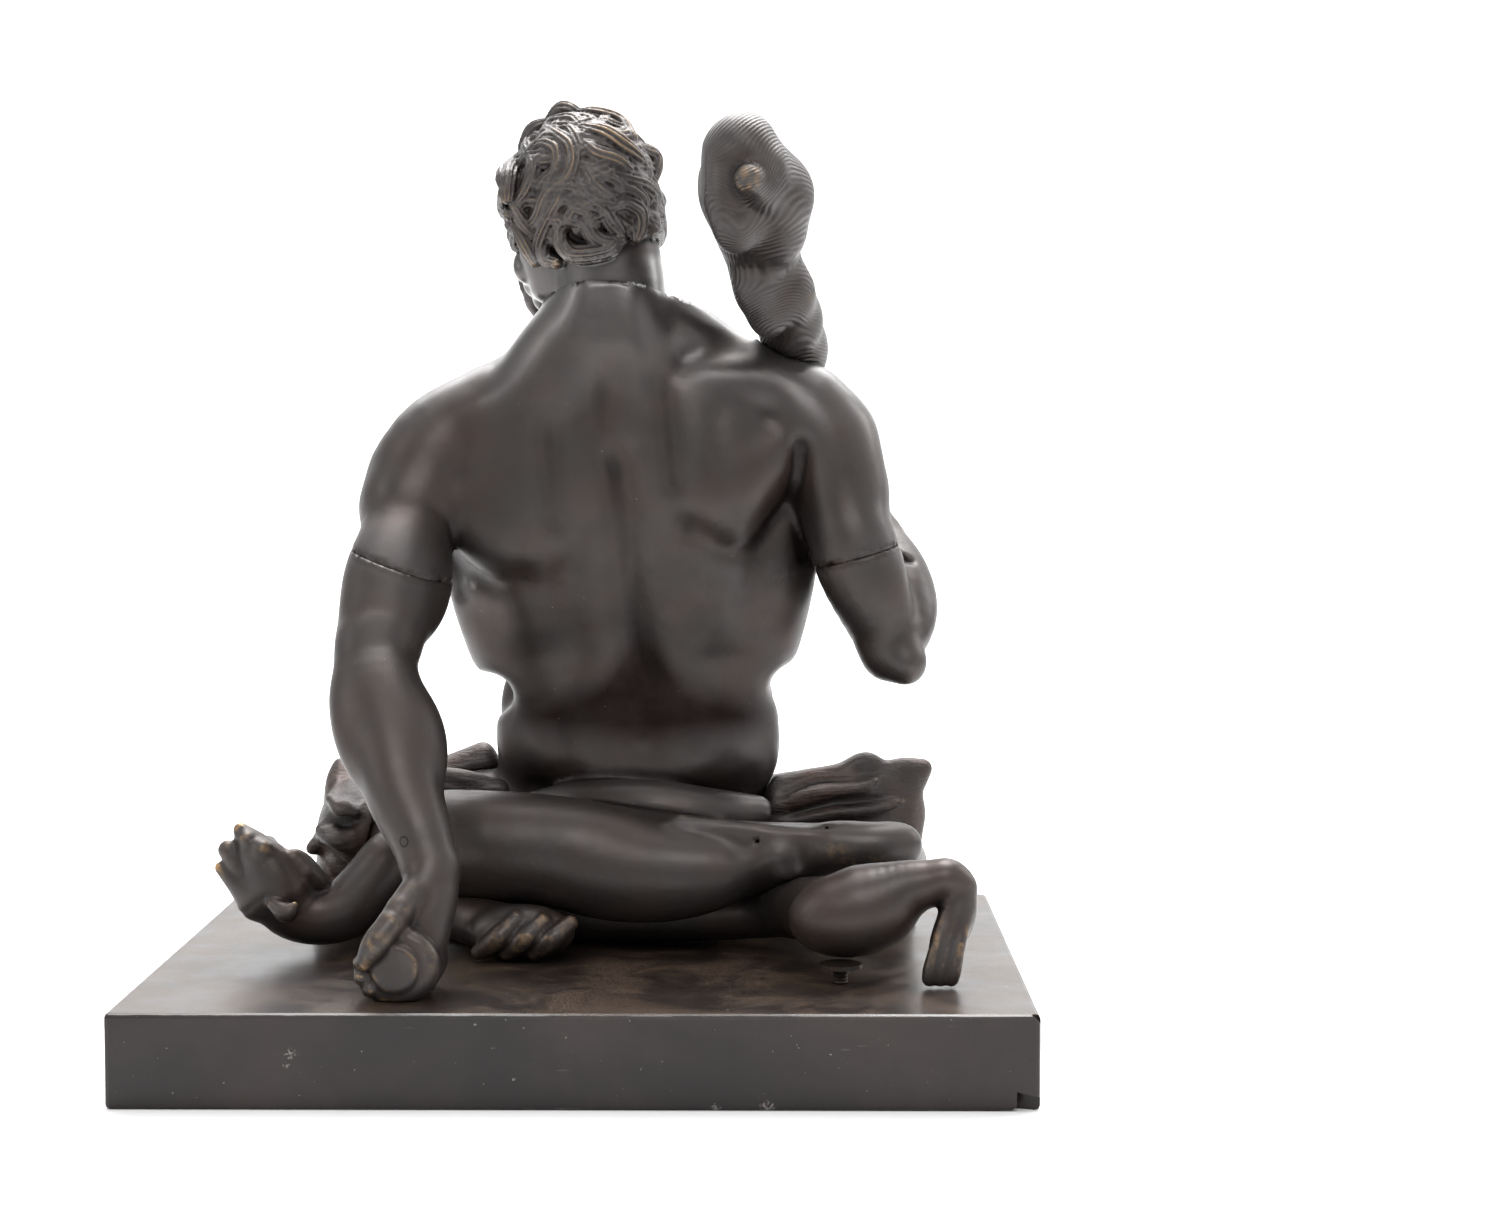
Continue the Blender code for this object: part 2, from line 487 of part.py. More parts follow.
def beast_forms(clay):
    clay.limb([(-104, 8, 40), (-60, 10, 26), (-10, 8, 21), (40, 6, 19), (88, 0, 21), (112, -18, 26)],
              [22, 21, 18, 17, 16, 16], blend=8)
    clay.limb([(-100, 2, 50), (-112, -8, 50), (-124, -14, 37), (-137, -18, 25), (-153, -20, 21.5),
               (-168, -24, 26), (-180, -28, 40)],
              [19, 18, 17.5, 17, 16.5, 16, 15], blend=5)
    # haunch, shank, hock and hind paw
    clay.limb([(114, -24, 28), (131, -64, 32)], [16, 19], blend=8)
    clay.belly((109, -88, 31), (178, -90, 40), 46, 44, (0, -1, 0), blend=6)
    clay.belly((120, -70, 36), (184, -82, 50), 28, 28, (0, -1, 0), blend=8)
    clay.limb([(150, -88, 42), (174, -91, 50), (190, -94, 54)], [19, 14.5, 10.5], blend=6)
    clay.blob((193, -94, 56), (11.5, 10.5, 9.5), blend=5)
    clay.limb([(200, -94, 50), (198, -97, 36), (193, -100, 24), (189, -103, 14)], [9, 10, 9.2, 7], blend=5)
    for toe in range(3):
        x = 182 + 5.6 * toe
        clay.limb([(x + 10, -102, 38), (x + 5, -107, 22), (x + 2, -109, 10), (x + 1, -109, 4.8)],
                  [3, 3.8, 4.6, 4.2], blend=1.2)
    for x in (185.5, 191):
        clay.limb([(x + 3, -114, 20), (x + 1, -114, 10), (x, -114, 2)], [0.6, 1.7, 1.7], blend=1.5,
                  carve=True)
    # the curled fore paw
    clay.limb([(-74, -12, 20), (-56, -26, 17), (-30, -34, 16)], [14, 14, 12], blend=6)
    clay.blob((-37, -38, 15.5), (29, 13, 15), blend=5)
    for digit in range(3):
        x = -61 + 15 * digit
        clay.limb([(x + 1, -46, 6), (x + 11, -51, 14), (x + 21, -46, 24 - digit)], [4.6, 5.8, 4.4], blend=2)


def beast_head_forms(clay):
    clay.limb([(-172, -28, 38), (-178, -30, 50), (-186, -31, 61), (-193, -31, 71)], [17, 14, 9.5, 4.2],
              blend=5)
    clay.limb([(-184, -30, 32), (-192, -32, 39), (-204, -32, 50)], [12, 7.5, 3.6], blend=4)
    clay.limb([(-190, -31, 46), (-196, -32, 54), (-200, -32, 60)], [7, 6, 5.6], blend=2)
    # the gape on either side of the tongue
    clay.limb([(-197, -38, 67), (-193, -42, 56), (-189, -44, 45)], [2.4, 2.6, 2.2], blend=1.5, carve=True)
    clay.limb([(-206, -37, 57), (-199, -41, 49), (-191, -44, 43)], [1.8, 2.2, 1.6], blend=1.5, carve=True)
    for side in (-1, 1):
        y = -30 + side * 9
        clay.blob((-180, y, 62), (5, 4.5, 4.5), blend=4)
        clay.limb([(-173, y + side * 6, 32), (-165, y + side * 9, 28), (-160, y + side * 10, 33)],
                  [3.5, 5.5, 1.5], blend=2)
        clay.blob((-189, y - side * 2, 67), (3.5, 3.5, 3.5), blend=3)
    # the crest behind the head
    for fold in range(3):
        clay.limb([(-169 + 4 * fold, -30, 50 - 3 * fold), (-164 + 4 * fold, -30, 56 - 4 * fold),
                   (-158 + 4 * fold, -26, 52 - 5 * fold), (-154 + 3 * fold, -22, 45 - 4 * fold)],
                  [5, 4.6, 4.2, 3.4], blend=2.5)
    clay.blob((-160, -24, 41), (11, 8, 9), blend=4)


def hide_forms(clay):
    """The hide: a thick skin on the slab, over both thighs, hanging behind the right one."""
    # pad on the slab under him
    clay.limb([(-120, 60, 2), (-60, 78, 4), (20, 84, 4), (100, 84, 4), (150, 76, 2)], [34, 36, 40, 40, 36],
              blend=6, flat=0.24, facing=(0, 0, 1))
    # left: the mask's heap over the knee
    clay.blob((-131, 36, 60), (31, 35, 29), blend=6)
    clay.limb([(-150, 14, 82), (-143, 5, 80), (-135, 2, 76)], [4, 4.4, 3], blend=6)
    clay.blob((-144, 3, 70), (7, 5, 4), blend=4, carve=True)
    clay.limb([(-156, 14, 64), (-147, 4, 60), (-137, 2, 62)], [4, 4.4, 3], blend=6)
    clay.limb([(-136, 48, 66), (-146, 58, 72), (-151, 66, 84), (-153, 70, 93)], [24, 16, 11, 6], blend=8)
    clay.limb([(-144, 36, 50), (-150, 42, 34), (-148, 54, 10)], [16, 15, 20], blend=8)
    clay.limb([(-150, 28, 58), (-158, 22, 55), (-162, 18, 53)], [9, 6, 4], blend=4)
    clay.limb([(-124, 70, 62), (-90, 78, 70), (-62, 80, 72)], [24, 18, 15], blend=8)
    clay.limb([(-100, 84, 84), (-84, 88, 91), (-72, 90, 99)], [11, 10, 7], blend=6)
    clay.limb([(-84, 88, 88), (-70, 88, 93)], [9, 8], blend=5)
    clay.blob((-74, 88, 91), (13, 6, 8), blend=4)
    clay.limb([(-112, 42, 84), (-86, 38, 88), (-58, 38, 84)], [9, 9, 7], blend=4)
    # right: heaped under the foot
    clay.limb([(96, 14, 16), (140, 12, 23), (172, 8, 22)], [18, 23, 21], blend=6)
    # over the right thigh, and hanging towards the viewer as a thick panel with a rolled edge
    clay.limb([(84, 88, 58), (130, 98, 64), (168, 106, 66)], [26, 25, 22], blend=8)
    clay.limb([(102, 68, 83), (120, 68, 87), (140, 69, 90), (155, 71, 96), (166, 72, 92), (178, 73, 93),
               (189, 75, 92)], [5, 5.5, 6, 6.5, 5.5, 6, 6], blend=4)
    for row, (z, thick) in enumerate([(76, 8), (66, 10), (54, 12), (41, 13), (28, 13), (14, 13)]):
        clay.limb([(104, 62 + 2 * row, z - 3), (146, 64 + 2 * row, z), (181 - 2 * row, 72 + row, z)],
                  [thick, thick + 1, thick - 1], blend=7)
    clay.limb([(104, 66, 80), (140, 68, 82), (164, 71, 84), (182, 74, 84)], [7, 8, 8, 7], blend=6)
    clay.limb([(187, 76, 86), (183, 74, 78), (186, 75, 66), (183, 74, 50)], [5, 5, 5, 5], blend=4)


def head_axes():
    front = np.array([-0.40, 0.85, -0.34])
    front /= np.linalg.norm(front)
    up = np.array([0.02, 0.0, 1.0])
    up = up - front * (up @ front)
    up /= np.linalg.norm(up)
    side = np.cross(front, up)
    return side, front, up


HEAD_CENTRE = (-8, 38, 421)


def head_forms(clay):
    """Skull, face and beard. Places are (side, front, up) from the head's centre."""
    axes = head_axes()
    turn = np.array(axes)

    def at(s, f, u):
        return np.array(HEAD_CENTRE, float) + s * axes[0] + f * axes[1] + u * axes[2]

    clay.blob(at(0, -4, 4), (35, 42, 38), turn, blend=8)
    clay.limb([at(0, 18, -8), at(0, 22, -34)], [30, 20], blend=10)
    clay.limb([(9, 34, 345), (9, 34, 372), (4, 36, 404)], [31.5, 30.5, 30], blend=10)
    clay.blob(at(0, 34, 16), (26, 10, 12), turn, blend=6)
    clay.limb([at(-13, 42, 10), at(13, 42, 10)], [5, 5], blend=4)
    clay.limb([at(0, 44, 8), at(0, 48, -2), at(0, 53, -12)], [4.5, 5, 6], blend=4)
    clay.blob(at(0, 45, -22), (12, 6, 4), turn, blend=3)
    for s in (-1, 1):
        clay.blob(at(s * 15, 43, 1), (8.5, 8, 6.5), turn, blend=4, carve=True)
        clay.blob(at(s * 15, 37, 1), (7, 6.5, 5.5), turn, blend=2)
        clay.blob(at(s * 24, 32, -8), (11, 9, 9), turn, blend=6)
        clay.blob(at(s * 6, 47, -13), (4, 4, 4), turn, blend=2)
        clay.limb([at(s * 39, 0, 8), at(s * 41, -3, 0), at(s * 38, 0, -8)], [5, 5, 4], blend=3)
    # beard in thick curls
    clay.limb([at(0, 34, -30), (-27, 71, 382), (-35, 77, 369), (-32, 77, 359)], [18, 14, 10, 6], blend=7)
    for s in (-1, 1):
        clay.limb([at(s * 29, 8, -6), at(s * 25, 14, -24), at(s * 16, 24, -42)], [8, 10, 11], blend=7)
        clay.limb([at(s * 3, 47, -18), at(s * 13, 44, -22), at(s * 18, 38, -32)], [4, 4.5, 4], blend=3)
        for curl in range(4):
            c = at(s * (7 + 7 * curl), 45 - 6 * curl, -34 - 6 * (3 - curl) + 4)
            clay.blob(c, (7, 7, 10), turn, blend=3)


# The locks that the photograph shows, over the back of the head: a path of (x, y, z), and its radius
LOCKS = {
    "upper_left": ([(-40, 33, 451), (-34, 32, 459), (-27, 31, 463)], 5),
    "crown": ([(-24, 31, 466), (-17, 29, 470), (-9, 30, 467)], 5.5),
    "crown_right": ([(-9, 30, 467), (1, 30, 466), (13, 29, 462), (20, 31, 454)], 6),
    "band": ([(-3, 18, 457), (7, 16, 453), (16, 15, 447), (24, 30, 442)], 6.5),
    "wave": ([(-3, 5, 448), (3, 3, 443), (13, 5, 440), (19, 9, 436)], 5),
    "hollow": ([(-4, 1, 438), (0, -1, 430), (6, 0, 424), (13, 3, 421)], 4),
    "hollow_low": ([(-7, 0, 437), (-5, -1, 426), (3, 0, 419), (12, 4, 417)], 3.6),
    "right_edge": ([(25, 31, 449), (31, 31, 446), (33, 32, 441), (32, 33, 433)], 5),
    "right_curl": ([(21, 12, 435), (25, 23, 441), (28, 33, 441), (28, 34, 436)], 3.6),
    "right_wave": ([(15, 4, 432), (21, 10, 430), (28, 27, 428), (33, 33, 423), (32, 35, 417)], 4.5),
    "right_fall": ([(13, 3, 424), (19, 8, 425), (26, 18, 420), (27, 26, 411)], 4.5),
    "right_low": ([(33, 33, 427), (35, 34, 421), (32, 35, 415)], 4),
    "right_tip": ([(27, 34, 412), (32, 35, 410), (32, 36, 405), (27, 36, 401)], 4),
    "bun": ([(11, 4, 415), (18, 7, 417), (24, 17, 413), (25, 33, 406), (24, 38, 400)], 5.5),
    "bun_in": ([(8, 4, 413), (11, 8, 407), (15, 15, 402)], 5),
    "roll": ([(-8, 3, 409), (-3, 5, 405), (1, 10, 399), (8, 17, 396), (16, 25, 397)], 4.2),
    "roll_low": ([(-18, 9, 404), (-17, 14, 396), (-11, 19, 390), (-2, 23, 389), (9, 27, 391), (13, 27, 394)],
                 5),
    "curl_left": ([(-11, -1, 422), (-9, 0, 415), (-3, 1, 412), (0, 4, 406)], 3.6),
    "long_left": ([(-14, 0, 425), (-18, 2, 417), (-26, 14, 404), (-29, 24, 396), (-27, 40, 388),
                   (-21, 42, 385)], 4.5),
    "fall_left": ([(-21, 3, 429), (-25, 7, 419), (-29, 13, 410), (-35, 22, 406)], 4.5),
    "left_lock": ([(-36, 31, 447), (-43, 36, 442), (-46, 38, 432), (-47, 39, 421)], 5),
    "left_dark": ([(-34, 25, 444), (-31, 13, 436), (-34, 14, 426), (-40, 25, 419)], 5),
    "left_edge": ([(-47, 37, 442), (-50, 38, 434), (-48, 40, 425)], 4.5),
    "left_lump": ([(-50, 40, 423), (-51, 41, 417), (-47, 42, 412)], 4.5),
    "left_low": ([(-43, 33, 416), (-38, 25, 408), (-32, 23, 400)], 4.5),
    "s_top": ([(-34, 32, 457), (-36, 34, 449), (-32, 16, 441)], 4.5),
    "s_round": ([(-26, 31, 459), (-19, 18, 454), (-11, 6, 447), (-9, 1, 438), (-12, 0, 430), (-18, 2, 426)],
                4.6),
    "s_beside": ([(-16, 30, 461), (-10, 14, 455), (-6, 5, 447), (-6, 1, 440)], 3.6),
    "s_lock": ([(-31, 22, 449), (-24, 12, 449), (-18, 4, 445), (-17, 1, 438), (-20, 0, 432)], 4.6),
    "curl_row": ([(-27, 32, 457), (-23, 30, 462), (-17, 28, 463), (-11, 27, 463), (-7, 28, 460)], 4.6),
    "jaw": ([(-44, 43, 406), (-38, 43, 396), (-33, 44, 386)], 4),
}
NAPE_HEIGHT = 398


def hair_locks():
    """Locks for the sides and crown that the photograph hides: they wave down from the crown to the nape."""
    axes = head_axes()
    centre = np.array(HEAD_CENTRE, float)
    rng = np.random.default_rng(7)
    rows = [(12, 7), (34, 12), (56, 16), (78, 18), (100, 18), (120, 14)]
    locks = []
    for level, (tilt, count) in enumerate(rows):
        for k in range(count):
            turn = 2 * np.pi * (k + 0.5 * (level % 2) + 0.3 * rng.uniform(-1, 1)) / count
            wave = rng.uniform(0.6, 1.0) * (1 if (k + level) % 2 else -1)
            t = np.linspace(0, 1, 7)[:, None]
            a = np.radians(tilt + 34 * t)
            b = turn + wave * 0.28 * np.sin(3.2 * np.pi * t) + wave * 0.2 * t
            way = np.hstack([np.sin(a) * np.sin(b), -np.sin(a) * np.cos(b) - 0.10, np.cos(a) + 0.05])
            lift = 1.0 + 0.07 * np.sin(np.pi * t) + 0.02 * (level % 2)
            path = centre + (way * (35, 43, 37) + (0, 0, 4)) * lift @ np.array(axes)
            middle = path[3] - centre
            forward, up = middle @ axes[1], middle @ axes[2]
            # the face and the neck stay free of hair
            if (forward > 22 and up < 26) or (forward > 6 and up < -12) or path[4][2] < NAPE_HEIGHT:
                continue
            locks.append(path)
    return locks


def settle(clay, path, proud):
    """Moves a path's points along the distance field's slope until they stand this proud of the clay."""
    path = np.array(path, float)
    for _ in range(4):
        places = (path - clay.low) / clay.cell
        value = read_points(clay.field, places)
        slope = np.stack([read_points(clay.field, places + step) - read_points(clay.field, places - step)
                          for step in np.eye(3)], 1)
        slope /= np.linalg.norm(slope, axis=1)[:, None] + 1e-6
        path -= np.clip(value - proud, -4, 4)[:, None] * slope
    return path


def lay_on(clay, path, proud):
    """Moves a path's points along Y, the way they are seen, to where they stand this proud of the clay."""
    path = np.array(path, float)
    depths = np.arange(-30, 60, 0.5)
    for point in path:
        ray = np.column_stack([np.full(len(depths), point[0]), depths, np.full(len(depths), point[2])])
        inside = read_points(clay.field, (ray - clay.low) / clay.cell) < proud
        if inside.any():
            point[1] = depths[inside.argmax()]
    return path


def hair_forms(clay):
    """Two layers of locks over the bald head."""
    bald = Clay(clay.low, clay.low, clay.cell)
    bald.field = blurred(np.clip(clay.field, -12, 12), 1)
    for path in hair_locks():
        clay.limb(settle(bald, path, 1.0), [4.5, 6.2, 6.4, 6.2, 5.8, 4.6, 2.4], blend=1.6, steps=2)
    for path, radius in LOCKS.values():
        ends = np.sin(np.linspace(0.45, np.pi - 0.6, len(path))) ** 0.5
        clay.limb(lay_on(bald, path, 3.0), (radius + 0.8) * ends, blend=1.2, steps=3)


def mould(forms, low, high, cell, *more):
    """A block of clay with these forms in it."""
    clay = Clay(low, high, cell)
    for add in (forms, *more):
        add(clay)
    return clay


def cut_at(clay, seam, normal, side):
    """Cuts clay at half a seam's gap from the seam's plane. side is 1 to keep the clay behind its normal."""
    way = side * np.array(normal, float) / np.linalg.norm(normal)
    clay.halfspace(np.array(seam, float) - way * SEAM_SPLIT / 2, way)


def arm(forms, seam, normal, side):
    """An arm's forms as clay, on one side of its seam."""
    clay = mould(forms, (-160, -170, -8), (230, 200, 340), ARM_CELL)
    cut_at(clay, seam, normal, side)
    return clay


def model_castings():
    """Every bronze piece as clay, each one cut back by the pieces that it meets."""
    low, high = (-190, -60, -8), (215, 188, 400)
    body = mould(body_forms, low, high, TORSO_CELL, left_leg_forms, right_leg_forms, back_strokes)
    body.soften(1)
    trunk = Clay(low, high, TORSO_CELL)
    trunk.field = body.field.copy()
    body.add(arm(left_arm_forms, LEFT_SEAM, LEFT_SEAM_NORMAL, 1), 9)
    body.add(arm(right_upper_arm_forms, RIGHT_SEAM, RIGHT_SEAM_NORMAL, 1), 9)
    left_arm = mould(left_arm_forms, (-160, -170, -8), (-50, 200, 340), ARM_CELL)
    left_arm.add(trunk, 9)
    left_hand_forms(left_arm)
    left_arm.soften(1)
    cut_at(left_arm, LEFT_SEAM, LEFT_SEAM_NORMAL, -1)
    right_arm = mould(right_upper_arm_forms, (90, -60, 100), (230, 200, 340), ARM_CELL)
    right_arm.add(trunk, 9)
    cut_at(right_arm, RIGHT_SEAM, RIGHT_SEAM_NORMAL, -1)
    forearm = mould(right_forearm_forms, (90, -30, 100), (230, 200, 340), ARM_CELL, right_hand_forms)
    forearm.soften(1)
    forearm.keep_off(body, 2 * COARSE_GAP)
    right_arm.add(forearm, 5)
    right_arm.limb(RIGHT_CROOK, [4, 4, 4], blend=1, carve=True)
    club = mould(club_forms, (20, -110, 180), (180, 200, 480), CLUB_CELL)
    beast = mould(beast_forms, (-240, -134, -8), (240, 60, 110), BEAST_CELL, beast_head_forms)
    beast.soften(1)
    head = mould(head_forms, (-90, -40, 330), (70, 140, 490), HEAD_CELL, hair_forms)
    cut_at(body, NECK_SEAM, NECK_SEAM_NORMAL, 1)
    cut_at(head, NECK_SEAM, NECK_SEAM_NORMAL, -1)

    body.keep_off(club, COARSE_GAP)
    right_arm.keep_off(club, COARSE_GAP)
    for side in (left_arm, right_arm):
        side.keep_off(trunk, COARSE_GAP)
        side.keep_off(body, 2 * SEAM_SPLIT)
    beast.keep_off(body, COARSE_GAP)
    hide = mould(hide_forms, low, high, HIDE_CELL)
    hide.keep_off(body, COARSE_GAP)
    hide.keep_off(beast, COARSE_GAP)
    for clay in (body, beast, left_arm, hide):
        clay.halfspace((0, 0, REST_GAP / SCALE), (0, 0, -1))
    return {"torso": body, "head": head, "left_arm": left_arm, "right_arm": right_arm, "club": club,
            "hydra": beast, "lion_skin": hide}


# How many triangles each casting keeps
TRIANGLES = {"torso": 2600, "head": 2000, "left_arm": 1100, "right_arm": 800, "club": 600, "hydra": 1300,
             "lion_skin": 800}


def collection(name):
    made = bpy.data.collections.new(name)
    bpy.context.scene.collection.children.link(made)
    return made


def metal(name, colour, roughness, metallic):
    material = bpy.data.materials.new(name)
    material.use_nodes = True
    shader = material.node_tree.nodes["Principled BSDF"]
    shader.inputs["Base Color"].default_value = (*colour, 1)
    shader.inputs["Roughness"].default_value = roughness
    shader.inputs["Metallic"].default_value = metallic
    return material


def casting(name, clay, material, home):
    """The clay's surface as an object, with only as many triangles as its form needs."""
    points, quads = clay.surface()
    mesh = bpy.data.meshes.new(name)
    mesh.from_pydata(points.tolist(), [], quads[:, ::-1].tolist())
    mesh.materials.append(material)
    body = bmesh.new()
    body.from_mesh(mesh)
    bmesh.ops.recalc_face_normals(body, faces=body.faces)
    body.to_mesh(mesh)
    body.free()
    mesh.shade_smooth()
    made = bpy.data.objects.new(name, mesh)
    home.objects.link(made)
    thin = made.modifiers.new("fewer triangles", "DECIMATE")
    thin.ratio = TRIANGLES[name] / (2 * len(mesh.polygons))
    thin.use_collapse_triangulate = True
    return made


def cube(name, size, place, home):
    """A box primitive with its size applied to the mesh."""
    bpy.ops.mesh.primitive_cube_add(size=1, location=place)
    made = bpy.context.active_object
    made.name = made.data.name = name
    made.data.transform(Matrix.Diagonal((*size, 1)))
    for old in list(made.users_collection):
        old.objects.unlink(made)
    home.objects.link(made)
    return made


def marble_base(material, home, cutters):
    """The slab, its edges rounded by hand, with the chips at its right and rear left corners."""
    slab = cube("marble_base", (BASE_WIDTH, BASE_DEPTH, BASE_HEIGHT), (0, 0, BASE_HEIGHT / 2), home)
    slab.data.materials.append(material)
    edge = slab.modifiers.new("worn edges", "BEVEL")
    edge.width = BASE_EDGE_ROUND
    edge.segments = 2
    right, front, top = BASE_WIDTH / 2, -BASE_DEPTH / 2, BASE_HEIGHT
    chips = [
        ("chip at the top right corner", (right, front, top), [CORNER_CHIP] * 3, (0.6, 0.5, 0.8)),
        ("chip at the foot, right", (right, front, 0),
         (2 * FOOT_CHIP_WIDTH, CORNER_CHIP, 2 * FOOT_CHIP_HEIGHT),
         (0, 0.25, -0.3)),
        ("chip at the rear left corner", (-right, -front, top), [CORNER_CHIP] * 3, (0.5, 0.7, 0.4)),
    ]
    for name, place, size, turn in chips:
        cutter = cube(name, size, place, cutters)
        cutter.rotation_euler = turn
        cutter.hide_render = True
        cutter.display_type = "WIRE"
        cut = slab.modifiers.new(name, "BOOLEAN")
        cut.operation = "DIFFERENCE"
        cut.solver = "EXACT"
        cut.object = cutter


def underside(clay, place, radius):
    """How high the lowest point of the clay lies over a disc of the slab, in metres above the slab."""
    x, y = place[0] / SCALE, place[1] / SCALE
    reach = radius / SCALE
    cuts, grid = clay.window((x - reach, y - reach, 0), (x + reach, y + reach, 60))
    field = clay.field[cuts]
    below, above = field[:, :, :-1], field[:, :, 1:]
    crossed = (below > 0) & (above <= 0) & ((grid[0] - x) ** 2 + (grid[1] - y) ** 2 <= reach**2)
    heights = grid[2][:, :, :-1] + clay.cell * below / np.maximum(below - above, 1e-6)
    return float(heights[crossed].min() - CONTACT_GAP) * SCALE


def fixing_stud(height, material, home):
    """The threaded stud that stands on the slab, with the washer that the haunch sits on."""
    core = STUD_DIAMETER / 2 - STUD_PITCH * 0.35
    top = height - REST_GAP
    neck = top - WASHER_THICK
    profile = [(0, top), (WASHER_DIAMETER / 2, top), (WASHER_DIAMETER / 2, neck), (core, neck)]
    turns = max(int((neck - REST_GAP) / STUD_PITCH), 1)
    pitch = (neck - REST_GAP) / turns
    for turn in range(turns):
        profile += [(STUD_DIAMETER / 2, neck - pitch * (turn + 0.5)), (core, neck - pitch * (turn + 1))]
    profile.append((0, REST_GAP))
    mesh = bpy.data.meshes.new("fixing_stud")
    points = [(x, 0, z + BASE_HEIGHT) for x, z in profile]
    mesh.from_pydata(points, [(i, i + 1) for i in range(len(points) - 1)], [])
    mesh.materials.append(material)
    made = bpy.data.objects.new("fixing_stud", mesh)
    made.location = (*STUD_PLACE, 0)
    home.objects.link(made)
    turned = made.modifiers.new("turned", "SCREW")
    turned.steps = turned.render_steps = 12
    turned.use_merge_vertices = True
    turned.merge_threshold = 0.00005


def main():
    for old in list(bpy.data.objects):
        bpy.data.objects.remove(old, do_unlink=True)
    home = collection("bronze Hercules")
    cutters = collection("cutters")
    tints = {"torso": (0.055, 0.045, 0.040), "head": (0.070, 0.055, 0.045), "left_arm": (0.056, 0.046, 0.041),
             "right_arm": (0.054, 0.044, 0.040), "club": (0.060, 0.052, 0.048),
              "hydra": (0.060, 0.046, 0.038),
             "lion_skin": (0.050, 0.042, 0.038)}
    castings = model_castings()
    for name, clay in castings.items():
        casting(name, clay, metal("bronze of the " + name, tints[name], 0.42, 1.0), home)
    marble_base(metal("black marble", (0.055, 0.052, 0.050), 0.35, 0.0), home, cutters)
    height = underside(castings["hydra"], STUD_PLACE, WASHER_DIAMETER / 2)
    fixing_stud(height, metal("steel of the stud", (0.12, 0.09, 0.07), 0.55, 1.0), home)


main()
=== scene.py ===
"""The looks of a seated bronze Hercules on the hydra: chased skin, dark patina and an old marble slab.

Metres, +Z up, the slab's underside at z = 0. The side that the photograph shows, the hero's back, looks
along -Y. The bronzes are modelled like the CAD part's, as distance fields on a finer grid: the forms are
melted together, chisel strokes are added to the field, and its zero surface is the skin. How far each point
stands proud of its neighbourhood gives the rubbed crests and the darker creases.
"""

import bpy
import numpy as np
import openvdb
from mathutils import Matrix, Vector


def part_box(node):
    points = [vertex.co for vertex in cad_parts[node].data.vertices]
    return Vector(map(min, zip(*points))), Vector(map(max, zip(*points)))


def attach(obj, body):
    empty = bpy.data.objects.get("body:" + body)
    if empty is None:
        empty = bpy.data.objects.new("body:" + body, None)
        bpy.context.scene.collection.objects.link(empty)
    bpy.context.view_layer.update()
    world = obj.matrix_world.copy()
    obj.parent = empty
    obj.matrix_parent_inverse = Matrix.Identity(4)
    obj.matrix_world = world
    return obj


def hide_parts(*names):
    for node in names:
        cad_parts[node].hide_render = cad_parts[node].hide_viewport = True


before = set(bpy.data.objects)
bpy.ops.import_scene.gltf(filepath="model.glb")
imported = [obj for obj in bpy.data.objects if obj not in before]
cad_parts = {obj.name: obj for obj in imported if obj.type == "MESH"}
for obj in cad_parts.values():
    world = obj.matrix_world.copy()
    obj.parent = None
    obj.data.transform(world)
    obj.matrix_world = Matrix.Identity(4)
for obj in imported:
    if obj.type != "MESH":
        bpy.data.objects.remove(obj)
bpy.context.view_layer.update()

# The slab's height and half its depth, in metres
slab_low, slab_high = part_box("marble_base")
BASE_HEIGHT = slab_high.z
HALF_DEPTH = -slab_low.y
MILLIMETRE = 0.001

# Gaps in mm: between castings at a seam, over the slab, where pieces touch, and between forearm and flank
SEAM_GAP = 0.3
REST_GAP = 0.3
CONTACT_GAP = 0.5
FLANK_GAP = 3.6

# A distance that is far outside every form, and the stretch of Y that chisel strokes reach, in mm
FAR = 1000.0
STROKE_REACH = (-400, 60)

# The grid of each piece's clay, in mm.
FACTOR = 1
TORSO_CELL = 2.25 * FACTOR
HEAD_CELL = 0.85 * FACTOR
ARM_CELL = 1.35 * FACTOR
CLUB_CELL = 1.2 * FACTOR
BEAST_CELL = 1.3 * FACTOR
HIDE_CELL = 1.5 * FACTOR


